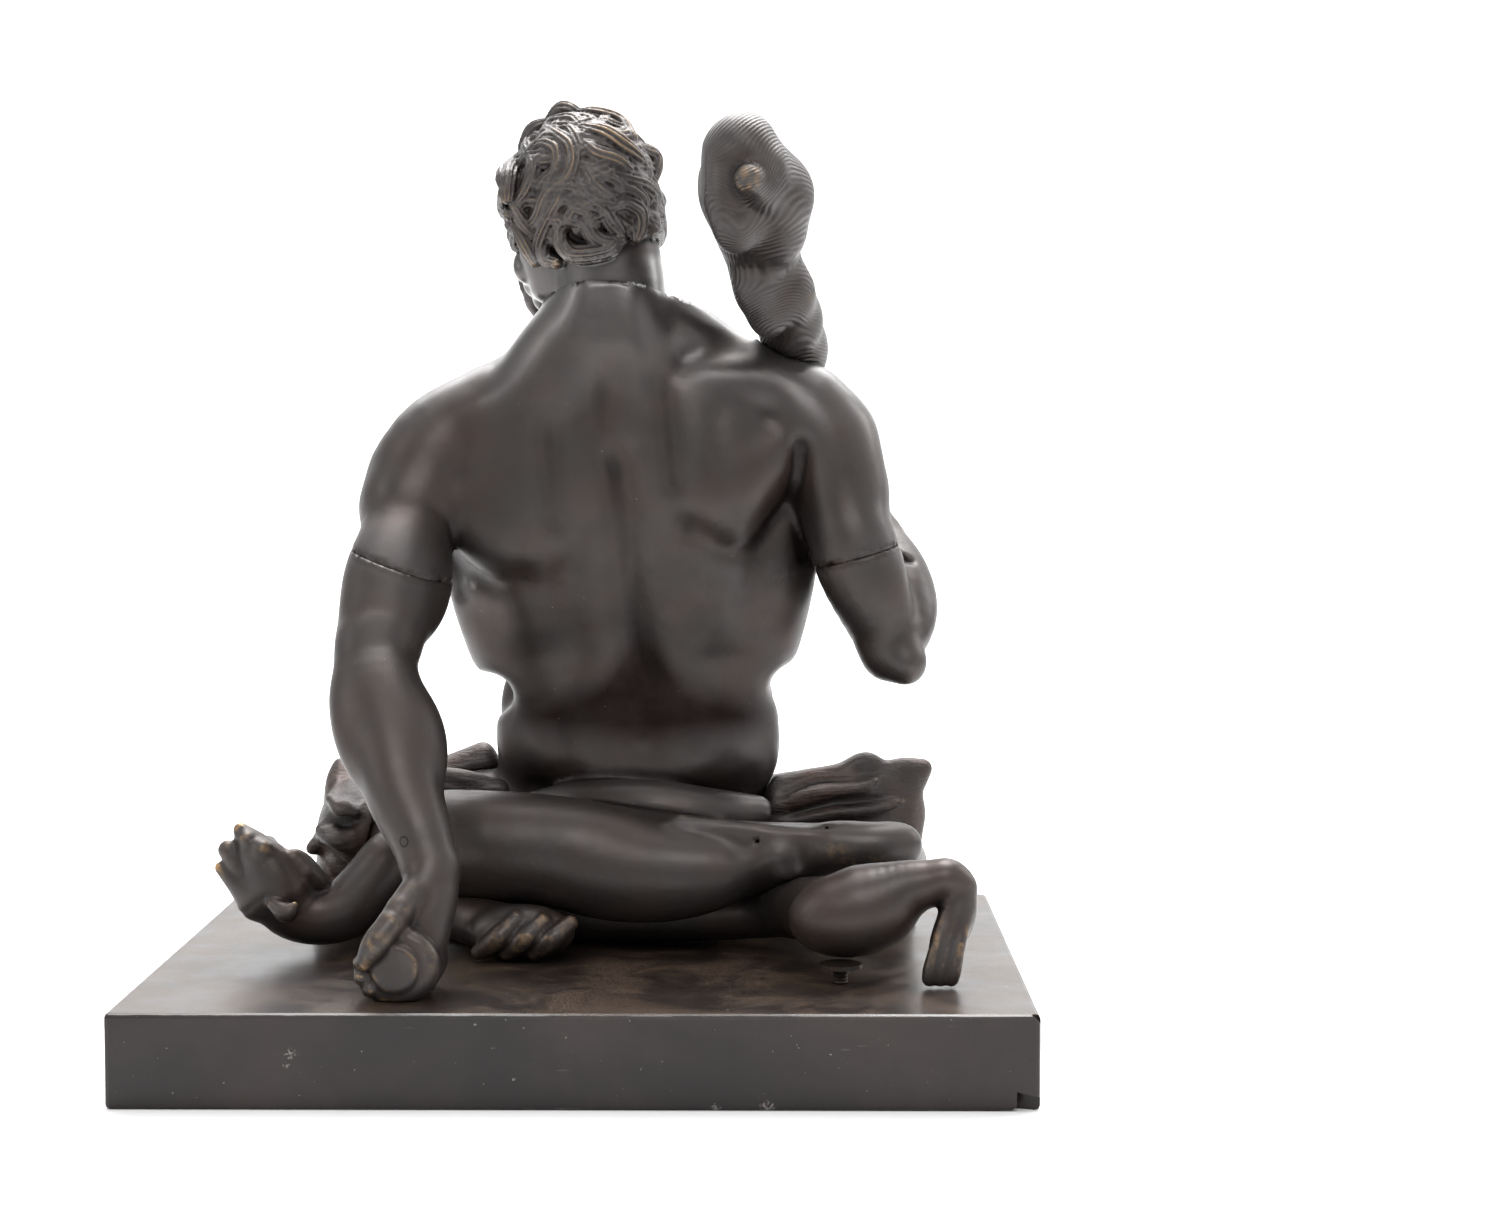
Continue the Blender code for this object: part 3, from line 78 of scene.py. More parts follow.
class Clay:
    """A block of signed distances on a grid of so many millimetres. Heights are above the slab's top."""

    def __init__(self, low, high, cell):
        self.cell = cell
        self.low = np.floor(np.array(low, float) / self.cell) * self.cell
        counts = np.ceil((np.array(high, float) - self.low) / self.cell).astype(int) + 1
        self.axes = [self.low[i] + self.cell * np.arange(counts[i]) for i in range(3)]
        self.field = np.full(counts, FAR, np.float32)

    def window(self, low, high):
        """The slices of the block between two corners, and its open grid of coordinates there."""
        cuts = []
        for axis, a, b in zip(self.axes, low, high):
            first, last = np.searchsorted(axis, a), np.searchsorted(axis, b)
            if first >= last:
                return None, None
            cuts.append(slice(first, last))
        x, y, z = (axis[cut].astype(np.float32) for axis, cut in zip(self.axes, cuts))
        return tuple(cuts), (x[:, None, None], y[None, :, None], z[None, None, :])

    def merge(self, cuts, distance, blend, carve=False):
        """Melts a form into the clay, or carves it away, with a rounded transition of the blend's width."""
        old = self.field[cuts]
        if carve:
            old = -old
        share = np.clip(0.5 + 0.5 * (distance - old) / blend, 0, 1)
        new = distance * (1 - share) + old * share - blend * share * (1 - share)
        self.field[cuts] = -new if carve else new

    def blob(self, centre, radii, turn=None, blend=8.0, carve=False):
        """An ellipsoid. Its three radii lie along the rows of turn, or along X, Y and Z."""
        turn = np.eye(3) if turn is None else np.array(turn, float)
        centre, radii = np.array(centre, float), np.array(radii, float)
        reach = np.sqrt(((turn.T * radii) ** 2).sum(axis=1)) + blend + 2 * self.cell
        cuts, grid = self.window(centre - reach, centre + reach)
        if cuts is None:
            return
        offset = [g - c for g, c in zip(grid, centre)]
        local = [row[0] * offset[0] + row[1] * offset[1] + row[2] * offset[2] for row in turn]
        near = np.sqrt(sum((q / r) ** 2 for q, r in zip(local, radii))) + 1e-6
        slope = np.sqrt(sum((q / r**2) ** 2 for q, r in zip(local, radii))) + 1e-6
        self.merge(cuts, near * (near - 1) / slope, blend, carve)

    def belly(self, start, end, width, thick, facing=(0, -1, 0), blend=8.0, carve=False):
        """A muscle's belly: an ellipsoid from start to end, with its flat side towards facing."""
        start, end = np.array(start, float), np.array(end, float)
        along = end - start
        length = np.linalg.norm(along)
        along = along / length
        out = np.array(facing, float)
        out = out - along * (out @ along)
        out = out / np.linalg.norm(out)
        turn = [along, np.cross(out, along), out]
        self.blob((start + end) / 2, (length / 2, width / 2, thick / 2), turn, blend, carve)

    def limb(self, points, radii, blend=8.0, flat=1.0, facing=(0, -1, 0), carve=False, steps=5, strands=0,
             groove=0.0, middle=None):
        """A tube through points with its radius at each of them. flat thins it towards facing.

        With strands, its radius is r * (1 - groove * (1 - |cos(strands * a / 2)|)) at the angle a round it,
        measured from the way out of the middle, so that rounded strands part at sharp valleys.
        """
        path = smooth_path(np.column_stack([points, radii]), steps)
        out = np.array(facing, float) / np.linalg.norm(facing)
        reach = path[:, 3].max() + blend + 2 * self.cell
        cuts, grid = self.window(path[:, :3].min(axis=0) - reach, path[:, :3].max(axis=0) + reach)
        if cuts is None:
            return
        distance = np.full([len(axis[cut]) for axis, cut in zip(self.axes, cuts)], FAR, np.float32)
        for a, b in zip(path[:-1], path[1:]):
            step = b[:3] - a[:3]
            offset = [g - c for g, c in zip(grid, a[:3])]
            share = sum(o * s for o, s in zip(offset, step)) / max(step @ step, 1e-9)
            share = np.clip(share, 0, 1)
            away = [o - share * s for o, s in zip(offset, step)]
            square = sum(q * q for q in away)
            if flat != 1.0:
                lift = sum(q * n for q, n in zip(away, out))
                square = square + (1 / flat**2 - 1) * lift * lift
            radius = a[3] + share * (b[3] - a[3])
            if strands:
                rise = (a[:3] + b[:3]) / 2 - middle
                along = step / np.linalg.norm(step)
                rise = rise - along * (rise @ along)
                rise = rise / np.linalg.norm(rise)
                across = np.cross(along, rise)
                legs = [sum(q * n for q, n in zip(away, way)) for way in (across, rise)]
                turn = np.arctan2(*legs)
                radius = radius * (1 - groove * (1 - np.abs(np.cos(strands * turn / 2))))
            distance = np.minimum(distance, np.sqrt(square) - radius)
        self.merge(cuts, distance * min(flat, 1.0), blend, carve)

    def stroke(self, points, width, depth):
        """A chisel's groove, or with a negative depth a ridge, seen along Y. points are (x, z) pairs."""
        path = smooth_path(np.array(points, float), 4)
        low = (path[:, 0].min() - 3 * width, STROKE_REACH[0], path[:, 1].min() - 3 * width)
        high = (path[:, 0].max() + 3 * width, STROKE_REACH[1], path[:, 1].max() + 3 * width)
        cuts, (x, y, z) = self.window(low, high)
        nearest = np.full((x.shape[0], 1, z.shape[2]), FAR**2, np.float32)
        for a, b in zip(path[:-1], path[1:]):
            step = b - a
            share = ((x - a[0]) * step[0] + (z - a[1]) * step[1]) / max(step @ step, 1e-9)
            share = np.clip(share, 0, 1)
            square = (x - a[0] - share * step[0]) ** 2 + (z - a[1] - share * step[1]) ** 2
            nearest = np.minimum(nearest, square)
        self.field[cuts] += depth * np.exp(-nearest / width**2)

    def halfspace(self, point, normal, blend=0.5):
        """Cuts away all clay on the side of the plane that its normal points to."""
        x, y, z = (a.astype(np.float32) for a in self.axes)
        n = np.array(normal, float) / np.linalg.norm(normal)
        side = (x[:, None, None] - point[0]) * n[0] + (y[None, :, None] - point[1]) * n[1]
        side = side + (z[None, None, :] - point[2]) * n[2]
        self.merge(tuple(slice(None) for _ in range(3)), -side, blend, carve=True)

    def shared(self, other):
        """The slices of this block that another one reaches, and the other's distances read there."""
        low = np.maximum(self.low, other.low)
        high = np.minimum([axis[-1] for axis in self.axes], [axis[-1] for axis in other.axes])
        cuts, _ = self.window(low, high)
        return cuts, other.read_grid([axis[cut] for axis, cut in zip(self.axes, cuts)])

    def read_grid(self, axes):
        """This clay's distances on another grid's axes, interpolated along X, Y and Z in turn."""
        field = self.field
        for k, axis in enumerate(axes):
            place = np.clip((axis - self.low[k]) / self.cell, 0, field.shape[k] - 1.001)
            first = place.astype(int)
            share = (place - first).astype(np.float32).reshape([-1 if j == k else 1 for j in range(3)])
            field = np.take(field, first, k) * (1 - share) + np.take(field, first + 1, k) * share
        return field

    def add(self, other, blend):
        """Melts another block's clay into this one."""
        cuts, distance = self.shared(other)
        self.merge(cuts, distance, blend)

    def keep_off(self, other, gap):
        """Cuts this clay back to a gap from another piece's clay."""
        cuts, distance = self.shared(other)
        self.field[cuts] = np.maximum(self.field[cuts], gap - distance)

    def soften(self, passes):
        """Smooths the clay: each pass averages a point with its neighbours along each axis."""
        for _ in range(passes):
            for axis in range(3):
                before = np.take(self.field, [0] + list(range(self.field.shape[axis] - 1)), axis)
                after = np.take(self.field, list(range(1, self.field.shape[axis])) + [-1], axis)
                self.field = 0.25 * before + 0.5 * self.field + 0.25 * after

    def stands_proud(self, points, reach):
        """How many mm each point of the skin stands proud of the clay round it, out to reach.

        It is the field's mean over a box, less the field itself: above 0 on crests, below 0 in creases.
        """
        near = np.clip(self.field, -reach, reach)
        mean = blurred(blurred(near, reach / self.cell / 2), reach / self.cell / 2)
        return read_points(mean - near, (points - self.low) / self.cell)

    def surface(self):
        """The zero surface as (points in the figure's millimetres, quads)."""
        grid = openvdb.FloatGrid(FAR)
        grid.copyFromArray(self.field)
        points, quads = one_shell(*grid.convertToQuads(isovalue=0.0))
        return points * self.cell + self.low, quads


def blurred(field, half):
    """The field's mean over a box of so many cells to each side, from running sums along each axis."""
    half = max(1, int(round(half)))
    for axis in range(3):
        ends = [(0, 0)] * 3
        ends[axis] = (half + 1, half)
        total = np.cumsum(np.pad(field, ends, mode="edge"), axis, dtype=np.float32)
        count = total.shape[axis]
        upper = np.take(total, range(2 * half + 1, count), axis)
        lower = np.take(total, range(0, count - 2 * half - 1), axis)
        field = (upper - lower) / (2 * half + 1)
    return field


def read_points(field, places):
    """The field's values at places given in cells, each the mean of the eight points round it by nearness."""
    places = np.clip(places, 0, np.array(field.shape) - 1.001)
    first = places.astype(int)
    share = places - first
    value = np.zeros(len(places))
    for corner in np.ndindex(2, 2, 2):
        weight = np.prod(np.where(corner, share, 1 - share), axis=1)
        value += weight * field[tuple((first + corner).T)]
    return value


def one_shell(points, quads):
    """Keeps the largest connected skin, so that no crumb or sealed hollow is left."""
    label = np.arange(len(points))
    ends = quads[:, [0, 1, 1, 2, 2, 3]].reshape(-1, 2)
    while True:
        low = np.minimum(label[ends[:, 0]], label[ends[:, 1]])
        new = label.copy()
        np.minimum.at(new, ends[:, 0], low)
        np.minimum.at(new, ends[:, 1], low)
        new = new[new]
        if np.array_equal(new, label):
            break
        label = new
    keep = label == np.bincount(label).argmax()
    number = np.cumsum(keep) - 1
    return points[keep], number[quads[keep[quads[:, 0]]]]


def smooth_path(points, steps):
    """A smooth curve through rows of numbers, with so many steps between each two."""
    points = np.array(points, float)
    padded = np.vstack([2 * points[0] - points[1], points, 2 * points[-1] - points[-2]])
    rows = []
    for i in range(1, len(padded) - 2):
        p0, p1, p2, p3 = padded[i - 1 : i + 3]
        for t in np.arange(steps) / steps:
            rows.append(
                0.5 * (2 * p1 + (p2 - p0) * t + (2 * p0 - 5 * p1 + 4 * p2 - p3) * t**2
                       + (3 * p1 - p0 - 3 * p2 + p3) * t**3)
            )
    rows.append(points[-1])
    return np.array(rows)


# The furrow of the spine, from the loins to the neck
SPINE = [(24, 34, 90), (26, 34, 122), (24, 32, 158), (19, 22, 196), (16, 12, 240), (11, 9, 280), (8, 12, 320),
         (7, 20, 356)]

# The seams where the head and the arms were joined on: a point, and the way across the seam
NECK_SEAM = (8, 15, 369)
NECK_SEAM_NORMAL = (0.03, 0.37, 0.93)
LEFT_SEAM = (-106, 5, 215)
LEFT_SEAM_NORMAL = (-0.335, 0, -0.942)
RIGHT_SEAM = (146, 30, 219)
RIGHT_SEAM_NORMAL = (0.27, 0, -0.96)

# The fold inside the right elbow
RIGHT_CROOK = [(118, 64, 222), (150, 63, 220), (180, 52, 217)]


def body_forms(clay):
    """Back, chest, shoulders and the two legs, of one casting."""
    clay.blob((18, 66, 250), (88, 52, 96), blend=16)
    clay.blob((22, 76, 116), (72, 46, 80), blend=18)
    clay.blob((20, 80, 56), (76, 46, 48), blend=16)
    # shoulders
    clay.limb([(-60, 48, 297), (-94, 40, 280), (-112, 34, 246)], [30, 27.5, 23], blend=14)
    clay.limb([(88, 46, 314), (126, 42, 294), (142, 38, 258)], [27, 27, 24], blend=14)
    clay.belly((-83, 30, 292), (-116, 18, 226), 40, 34, (-0.5, -1, 0.2), blend=12)
    clay.belly((112, 32, 316), (150, 26, 240), 38, 34, (0.5, -1, 0.2), blend=12)
    clay.blob((-92, 74, 268), (30, 28, 34), blend=10)
    clay.blob((128, 72, 276), (30, 28, 34), blend=10)
    # trapezius, from the nape to each shoulder
    clay.limb([(8, 34, 372), (-14, 38, 340), (-46, 42, 309), (-84, 46, 288)], [27, 26, 23, 20], blend=14)
    clay.limb([(12, 34, 376), (36, 38, 350), (74, 42, 325), (118, 46, 306)], [27, 26, 23, 20], blend=14)
    clay.belly((4, 15, 366), (-50, 18, 290), 50, 28, (-0.2, -1, 0.4), blend=12)
    clay.belly((16, 13, 368), (38, 15, 300), 36, 24, (0.1, -1, 0.3), blend=10)
    # the broad sheets of the back, with the blades under them
    for side, lean in ((-1, 0), (1, 14)):
        outer = 14 + side * 50
        sheet = [(14 + side * 40, 44, 292 + lean), (outer, 42, 240 + lean), (14 + side * 46, 54, 176),
                 (22 + side * 36, 66, 118)]
        clay.limb(sheet, [33, 36, 31, 24], blend=18)
    clay.belly((-30, 22, 306), (-58, 21, 208), 78, 34, (-0.15, -1, 0), blend=14)
    clay.belly((-38, 22, 222), (-100, 30, 258), 40, 32, (-0.3, -1, 0), blend=12)
    clay.belly((48, 22, 320), (80, 19, 228), 74, 36, (0.15, -1, 0), blend=12)
    clay.belly((66, 21, 244), (120, 31, 290), 42, 34, (0.3, -1, 0), blend=12)
    clay.belly((58, 17, 322), (120, 33, 314), 24, 20, (0.2, -1, 0.3), blend=8)
    # latissimus, the wings of the back
    clay.belly((-84, 52, 270), (-32, 66, 104), 56, 50, (-0.8, -0.6, 0), blend=14)
    clay.belly((116, 54, 276), (76, 66, 104), 56, 50, (0.8, -0.6, 0), blend=14)
    # the two columns beside the spine and the rolls over the hips
    for side in (-1, 1):
        points = [(x + side * 17, y + 17, z) for x, y, z in SPINE[:7]]
        clay.limb(points, [18, 19, 18, 17, 17, 17, 16], blend=16)
        clay.belly((22 + side * 58, 66, 140), (22 + side * 62, 68, 76), 40, 46, (side, -0.4, 0), blend=12)
        loin = 24 + side * 18
        clay.belly((loin, 38, 116), (loin + side * 44, 50, 106), 44, 28, (side * 0.3, -1, 0), blend=14)
    # the hollow of the loins and the waist
    clay.blob((25, 12, 126), (56, 15, 27), blend=12, carve=True)
    clay.blob((-63, 62, 138), (14, 60, 12), blend=8, carve=True)
    clay.blob((112, 62, 142), (13, 56, 12), blend=8, carve=True)
    # the roll he sits on
    clay.limb([(-40, 38, 80), (-8, 24, 81), (30, 15, 80), (66, 18, 75), (92, 34, 73)],
              [4, 10, 13.5, 13, 9], blend=4)
    # chest and belly, on the far side
    for side in (-1, 1):
        clay.belly((20 + side * 8, 106, 256), (20 + side * 84, 84, 276), 70, 40, (0, 1, 0), blend=7)
        clay.belly((20 + side * 60, 100, 160), (20 + side * 64, 92, 96), 40, 30, (side * 0.4, 1, 0), blend=8)
        for row in range(4):
            clay.blob((20 + side * 15, 112 - 0.6 * row, 210 - 27 * row), (18, 8, 14), blend=7)
            start = (20 + side * 50, 106, 222 - 17 * row)
            clay.belly(start, (20 + side * 82, 82, 236 - 17 * row), 16, 13, (side, 1, 0), blend=7)
    clay.blob((20, 119, 128), (4, 4, 4), blend=3, carve=True)
    # collarbones and the root of the neck
    clay.limb([(12, 70, 322), (-30, 82, 312), (-84, 74, 296)], [9, 8, 9], blend=8)
    clay.limb([(20, 72, 324), (62, 84, 318), (112, 76, 306)], [9, 8, 9], blend=8)
    clay.limb([(9, 34, 345), (9, 33, 372), (8, 34, 400)], [33, 31, 31], blend=10)
    clay.limb([(8, 30, 350), (8, 26, 318), (11, 24, 290)], [26, 18, 14], blend=14)


def back_strokes(clay):
    """The lines of the back, in low relief: places (x, z) seen from behind, then the width and the depth."""
    # the furrow of the spine
    clay.stroke([(5, 314), (5, 298), (9, 280), (12, 266), (16, 241), (17, 214), (20, 190), (24, 164),
                 (26, 140), (27, 118)], 9, 2.0)
    # under the blades
    clay.stroke([(-88, 232), (-80, 217), (-68, 209), (-54, 206), (-40, 208)], 8, 3.4)
    clay.stroke([(54, 236), (64, 231), (74, 225), (84, 225), (93, 233), (103, 249), (111, 264), (117, 276)],
                8, 3.2)
    # the hollow over the right blade, and the one down the nape
    clay.stroke([(38, 322), (46, 331), (58, 337), (72, 339), (86, 338)], 9, 2.4)
    clay.stroke([(8, 366), (9, 348), (10, 328)], 9, 1.4)
    # armpits
    clay.stroke([(-92, 244), (-86, 232), (-82, 214), (-79, 198)], 5, 4.5)
    clay.stroke([(117, 282), (118, 262), (119, 240), (120, 218)], 5, 4.5)
    # the soft valleys inside the blades, and the ridges beside them
    clay.stroke([(-26, 300), (-24, 270), (-22, 240)], 7, 1.8)
    clay.stroke([(40, 310), (42, 286), (45, 262)], 6, 2.0)
    clay.stroke([(70, 300), (68, 284), (66, 268)], 7, 1.2)
    clay.stroke([(-6, 368), (-14, 350), (-28, 330), (-44, 316), (-68, 304)], 11, -1.8)
    clay.stroke([(21, 364), (23, 344), (26, 326), (23, 308), (20, 292)], 12, -1.6)
    # ribs, flanks and the dimples over the hips
    clay.stroke([(-66, 184), (-52, 168), (-40, 162), (-30, 164)], 12, 2.0)
    clay.stroke([(104, 184), (94, 168), (84, 160), (72, 160)], 12, 2.0)
    clay.stroke([(-31, 121), (-27, 114)], 9, 1.4)
    clay.stroke([(56, 118), (60, 108)], 9, 1.4)


def left_leg_forms(clay):
    """Folded behind him: the thigh lies under the hide and the calf lies across the beast."""
    clay.limb([(-10, 84, 50), (-70, 76, 52), (-126, 52, 52)], [40, 38, 31], blend=12)
    clay.blob((-134, 46, 52), (21, 22, 23), blend=10)
    clay.limb([(-126, 38, 54), (-80, 2, 58), (-18, -8, 55), (42, -12, 50), (92, -16, 54), (122, -18, 58),
               (146, -22, 60)], [24, 31, 30, 27, 20, 15.5, 13], blend=10)
    clay.belly((-96, -8, 60), (28, -22, 60), 50, 34, (0, -1, 0.3), blend=12)
    clay.belly((-30, -21, 41), (88, -32, 44), 48, 36, (0, -1, -0.1), blend=9)
    # the tendon over the ankle, and the ankle's knobs
    clay.limb([(48, -24, 76), (80, -28, 72), (112, -30, 69), (140, -28, 68)], [4, 5, 4.5, 4], blend=6)
    clay.blob((104, -33, 58), (10, 6, 6), blend=6)
    clay.blob((108, -33, 48), (8, 5, 5), blend=5)
    clay.blob((88, -41, 62), (9, 4, 4), blend=7, carve=True)
    # heel, sole and toes
    clay.limb([(136, -26, 62), (156, -28, 62), (172, -24, 62)], [13, 13.5, 12], blend=6)
    clay.limb([(166, -22, 60), (174, 6, 52), (178, 34, 42), (180, 52, 32)], [12, 12, 12, 8], blend=8)
    for toe in range(5):
        root = (174 - 1.5 * toe, 44 - 3 * toe, 38 - 5 * toe)
        tip = (181 - 1.5 * toe, 62 - 5 * toe, 30 - 4.5 * toe)
        clay.limb([root, tip], [5, 4.2 if toe else 5.5], blend=2.5)


def right_leg_forms(clay):
    """Folded before him: the knee points right and the foot lies on the slab, left of the middle."""
    clay.limb([(54, 86, 44), (108, 102, 46), (156, 116, 52)], [38, 32, 26], blend=12)
    clay.blob((162, 120, 50), (22, 23, 24), blend=8)
    clay.limb([(158, 124, 46), (110, 136, 30), (50, 140, 24), (-10, 142, 19), (-44, 142, 17)],
              [24, 29, 26, 18, 15], blend=8)
    clay.belly((134, 126, 32), (36, 128, 27), 44, 40, (0, -0.4, 1), blend=8)
    clay.blob((-52, 136, 20), (15, 14, 14), blend=6)
    clay.limb([(-50, 138, 20), (-78, 150, 22), (-104, 154, 14), (-112, 153, 10)], [13, 13, 10, 7], blend=7)
    for toe in range(5):
        root, tip = (-104, 160 - 5.5 * toe, 10), (-122 + 2 * toe, 160 - 6 * toe, 7)
        clay.limb([root, tip], [5, 4.2 if toe else 5.5], blend=2.5)


def left_arm_forms(clay):
    """The left arm down to the wrist, held out and down."""
    clay.limb([(-103, 40, 262), (-105, 14, 232), (-108, -12, 204), (-112, -36, 178)], [27, 25, 25, 22],
              blend=8)
    clay.belly((-108, 14, 244), (-120, -42, 180), 44, 36, (0.2, -1, 0.4), blend=9)
    clay.belly((-94, 24, 226), (-100, -22, 176), 34, 34, (1, 0.2, 0), blend=9)
    clay.limb([(-111, 22, 252), (-112, 8, 226), (-117, -18, 198), (-122, -38, 180)], [18, 16.5, 17, 14.5],
              blend=9)
    clay.blob((-124, -50, 172), (12, 11, 13), blend=8)
    clay.limb([(-115, -42, 172), (-111, -60, 148), (-102, -76, 124), (-94, -92, 100), (-84, -106, 80),
               (-77.5, -114, 64)], [19, 23.5, 23, 20.5, 17, 14.5], blend=8)
    clay.belly((-98, -58, 152), (-84, -88, 100), 32, 34, (1, -0.4, 0), blend=9)
    clay.belly((-124, -52, 172), (-112, -88, 104), 30, 36, (-1, -0.2, 0), blend=9)
    clay.belly((-110, -62, 160), (-96, -104, 96), 30, 22, (0, -1, 0.2), blend=9)


# The stub in the left fist lies along Y: its place in X and Z, and its radius
STUB = np.array([-92.0, 0.0, 17.5])
STUB_RADIUS = 9.8


def left_hand_forms(clay):
    """A fist round a stub that points at the viewer, the fingers under it and the thumb beside it."""
    clay.limb([(-77.5, -114, 64), (-76, -122, 50), (-77, -128, 36), (-79, -131, 22), (-84, -133, 10)],
              [14, 13.5, 12, 10.5, 9], blend=6)
    clay.blob((-86, -126, 38), (12, 14, 14), blend=6)
    for finger in range(4):
        y = -143 + 11 * finger
        turns = np.radians([130, 90, 50, 10, -30, -70, -110, -145, -172])
        ring = [STUB + (16.5 * np.cos(t), y, (13.4 + 2 * (t > 0)) * np.sin(t)) for t in turns]
        clay.limb(ring, [5, 5.4, 6, 6.5, 6.8, 6.8, 6.6, 6.0, 5.4], blend=2.6)
    clay.limb([STUB + (0, -147, 0), STUB + (0, -100, 0)], [13, 13], blend=2)
    clay.limb([STUB + (0, -154, 0), STUB + (0, -100, 0)], [STUB_RADIUS, STUB_RADIUS], blend=0.6)
    clay.halfspace((0, -151.5, 0), (0, -1, 0), blend=2)
    for tip in ((-17.5, -146, 3), (-17, -147, -5), (-13, -147, -11)):
        clay.blob(STUB + tip, (4.2, 4.5, 4), blend=1.5)
    # the thumb, laid over the fingers
    clay.limb([(-79, -122, 60), (-87, -134, 50), (-94, -144, 40)], [9, 8, 7.5], blend=4)
    clay.limb([(-94, -146, 40), (-101, -150, 31), (-107, -150, 21)], [7.2, 7.4, 4.6], blend=1.5)
    clay.blob((-90, -140, 47), (6, 6, 6), blend=3)


def right_upper_arm_forms(clay):
    """The right arm from the shoulder down to the elbow."""
    clay.limb([(133, 44, 285), (140, 36, 250), (150, 30, 214), (164, 26, 178)], [27, 25, 24.5, 19], blend=8)
    clay.belly((138, 20, 258), (164, 16, 176), 42, 36, (0, -1, 0.2), blend=9)
    clay.belly((140, 56, 250), (160, 48, 190), 40, 36, (0, 1, 0.2), blend=9)
    clay.blob((176, 18, 160), (12, 13, 13), blend=7)


def right_forearm_forms(clay):
    """The right forearm, raised from the elbow to the club's handle."""
    clay.limb([(168, 26, 166), (173, 54, 190), (164, 92, 221), (150, 119, 248)], [18, 21, 18, 12.5], blend=8)
    clay.belly((182, 26, 172), (169, 86, 226), 28, 34, (1, 0, 0.2), blend=9)
    clay.belly((158, 34, 166), (154, 92, 212), 28, 30, (-1, 0.2, -0.4), blend=9)


# The club's middle line from its thick end to its handle, and its radius at each point
CLUB_LINE = [(85, -44, 444), (88, -30, 422), (93, -6, 396), (103, 22, 370), (111, 50, 342), (121, 92, 302),
             (131, 132, 264), (137, 156, 240)]
CLUB_RADII = [18, 26, 22, 17, 17, 13, 11, 12]


def right_hand_forms(clay):
    """A fist round the club's handle."""
    top, low = np.array(CLUB_LINE[5], float), np.array(CLUB_LINE[7], float)
    along = (low - top) / np.linalg.norm(low - top)
    hub = np.array(CLUB_LINE[6], float)
    out = np.array([1.0, -0.1, 0.1])
    out = out - along * (out @ along)
    out /= np.linalg.norm(out)
    side = np.cross(along, out)
    clay.limb([(150, 119, 248), hub + out * 15 + side * 2], [12.5, 15], blend=6)
    for finger in range(4):
        centre = hub + along * (-16 + 11 * finger)
        turns = np.radians([0, 50, 100, 150, 200, 240])
        ring = [centre + 15.5 * (np.cos(t) * out + np.sin(t) * side) for t in turns]
        clay.limb(ring, [6.4, 6, 5.8, 5.6, 5.2, 4.6], blend=2.6)
    turns = np.radians([-10, -60, -110, -160])
    ring = [hub - along * 20 + 15.5 * (np.cos(t) * out + np.sin(t) * side) for t in turns]
    clay.limb(ring, [8, 7.2, 6.4, 5.4], blend=3)


def club_forms(clay):
    """A knotty branch, thick and cut off aslant at its end."""
    clay.limb(CLUB_LINE, CLUB_RADII, blend=6)
    clay.limb([(70, -44, 438), (82, -50, 442), (94, -50, 434)], [12, 14, 13], blend=8)
    knots = [((96, -54, 424), 11), ((66, -48, 424), 11), ((80, -44, 400), 11), ((108, -34, 418), 15),
             ((106, -22, 398), 11), ((90, -6, 369), 11), ((98, 6, 356), 11), ((114, 10, 366), 10),
             ((116, 28, 352), 12), ((118, 50, 338), 12),
             ((72, -14, 426), 13), ((104, -6, 430), 13), ((112, 96, 304), 6)]
    for centre, radius in knots:
        clay.blob(centre, (radius, radius, radius * 1.25), blend=13)
    clay.limb([(95, -54, 420), (88, -68, 424)], [10, 8], blend=4)
    clay.halfspace((56, -50, 456), (-0.75, -0.25, 0.62), blend=6)
    clay.halfspace((56, 0, 0), (-1, -0.15, 0), blend=4)


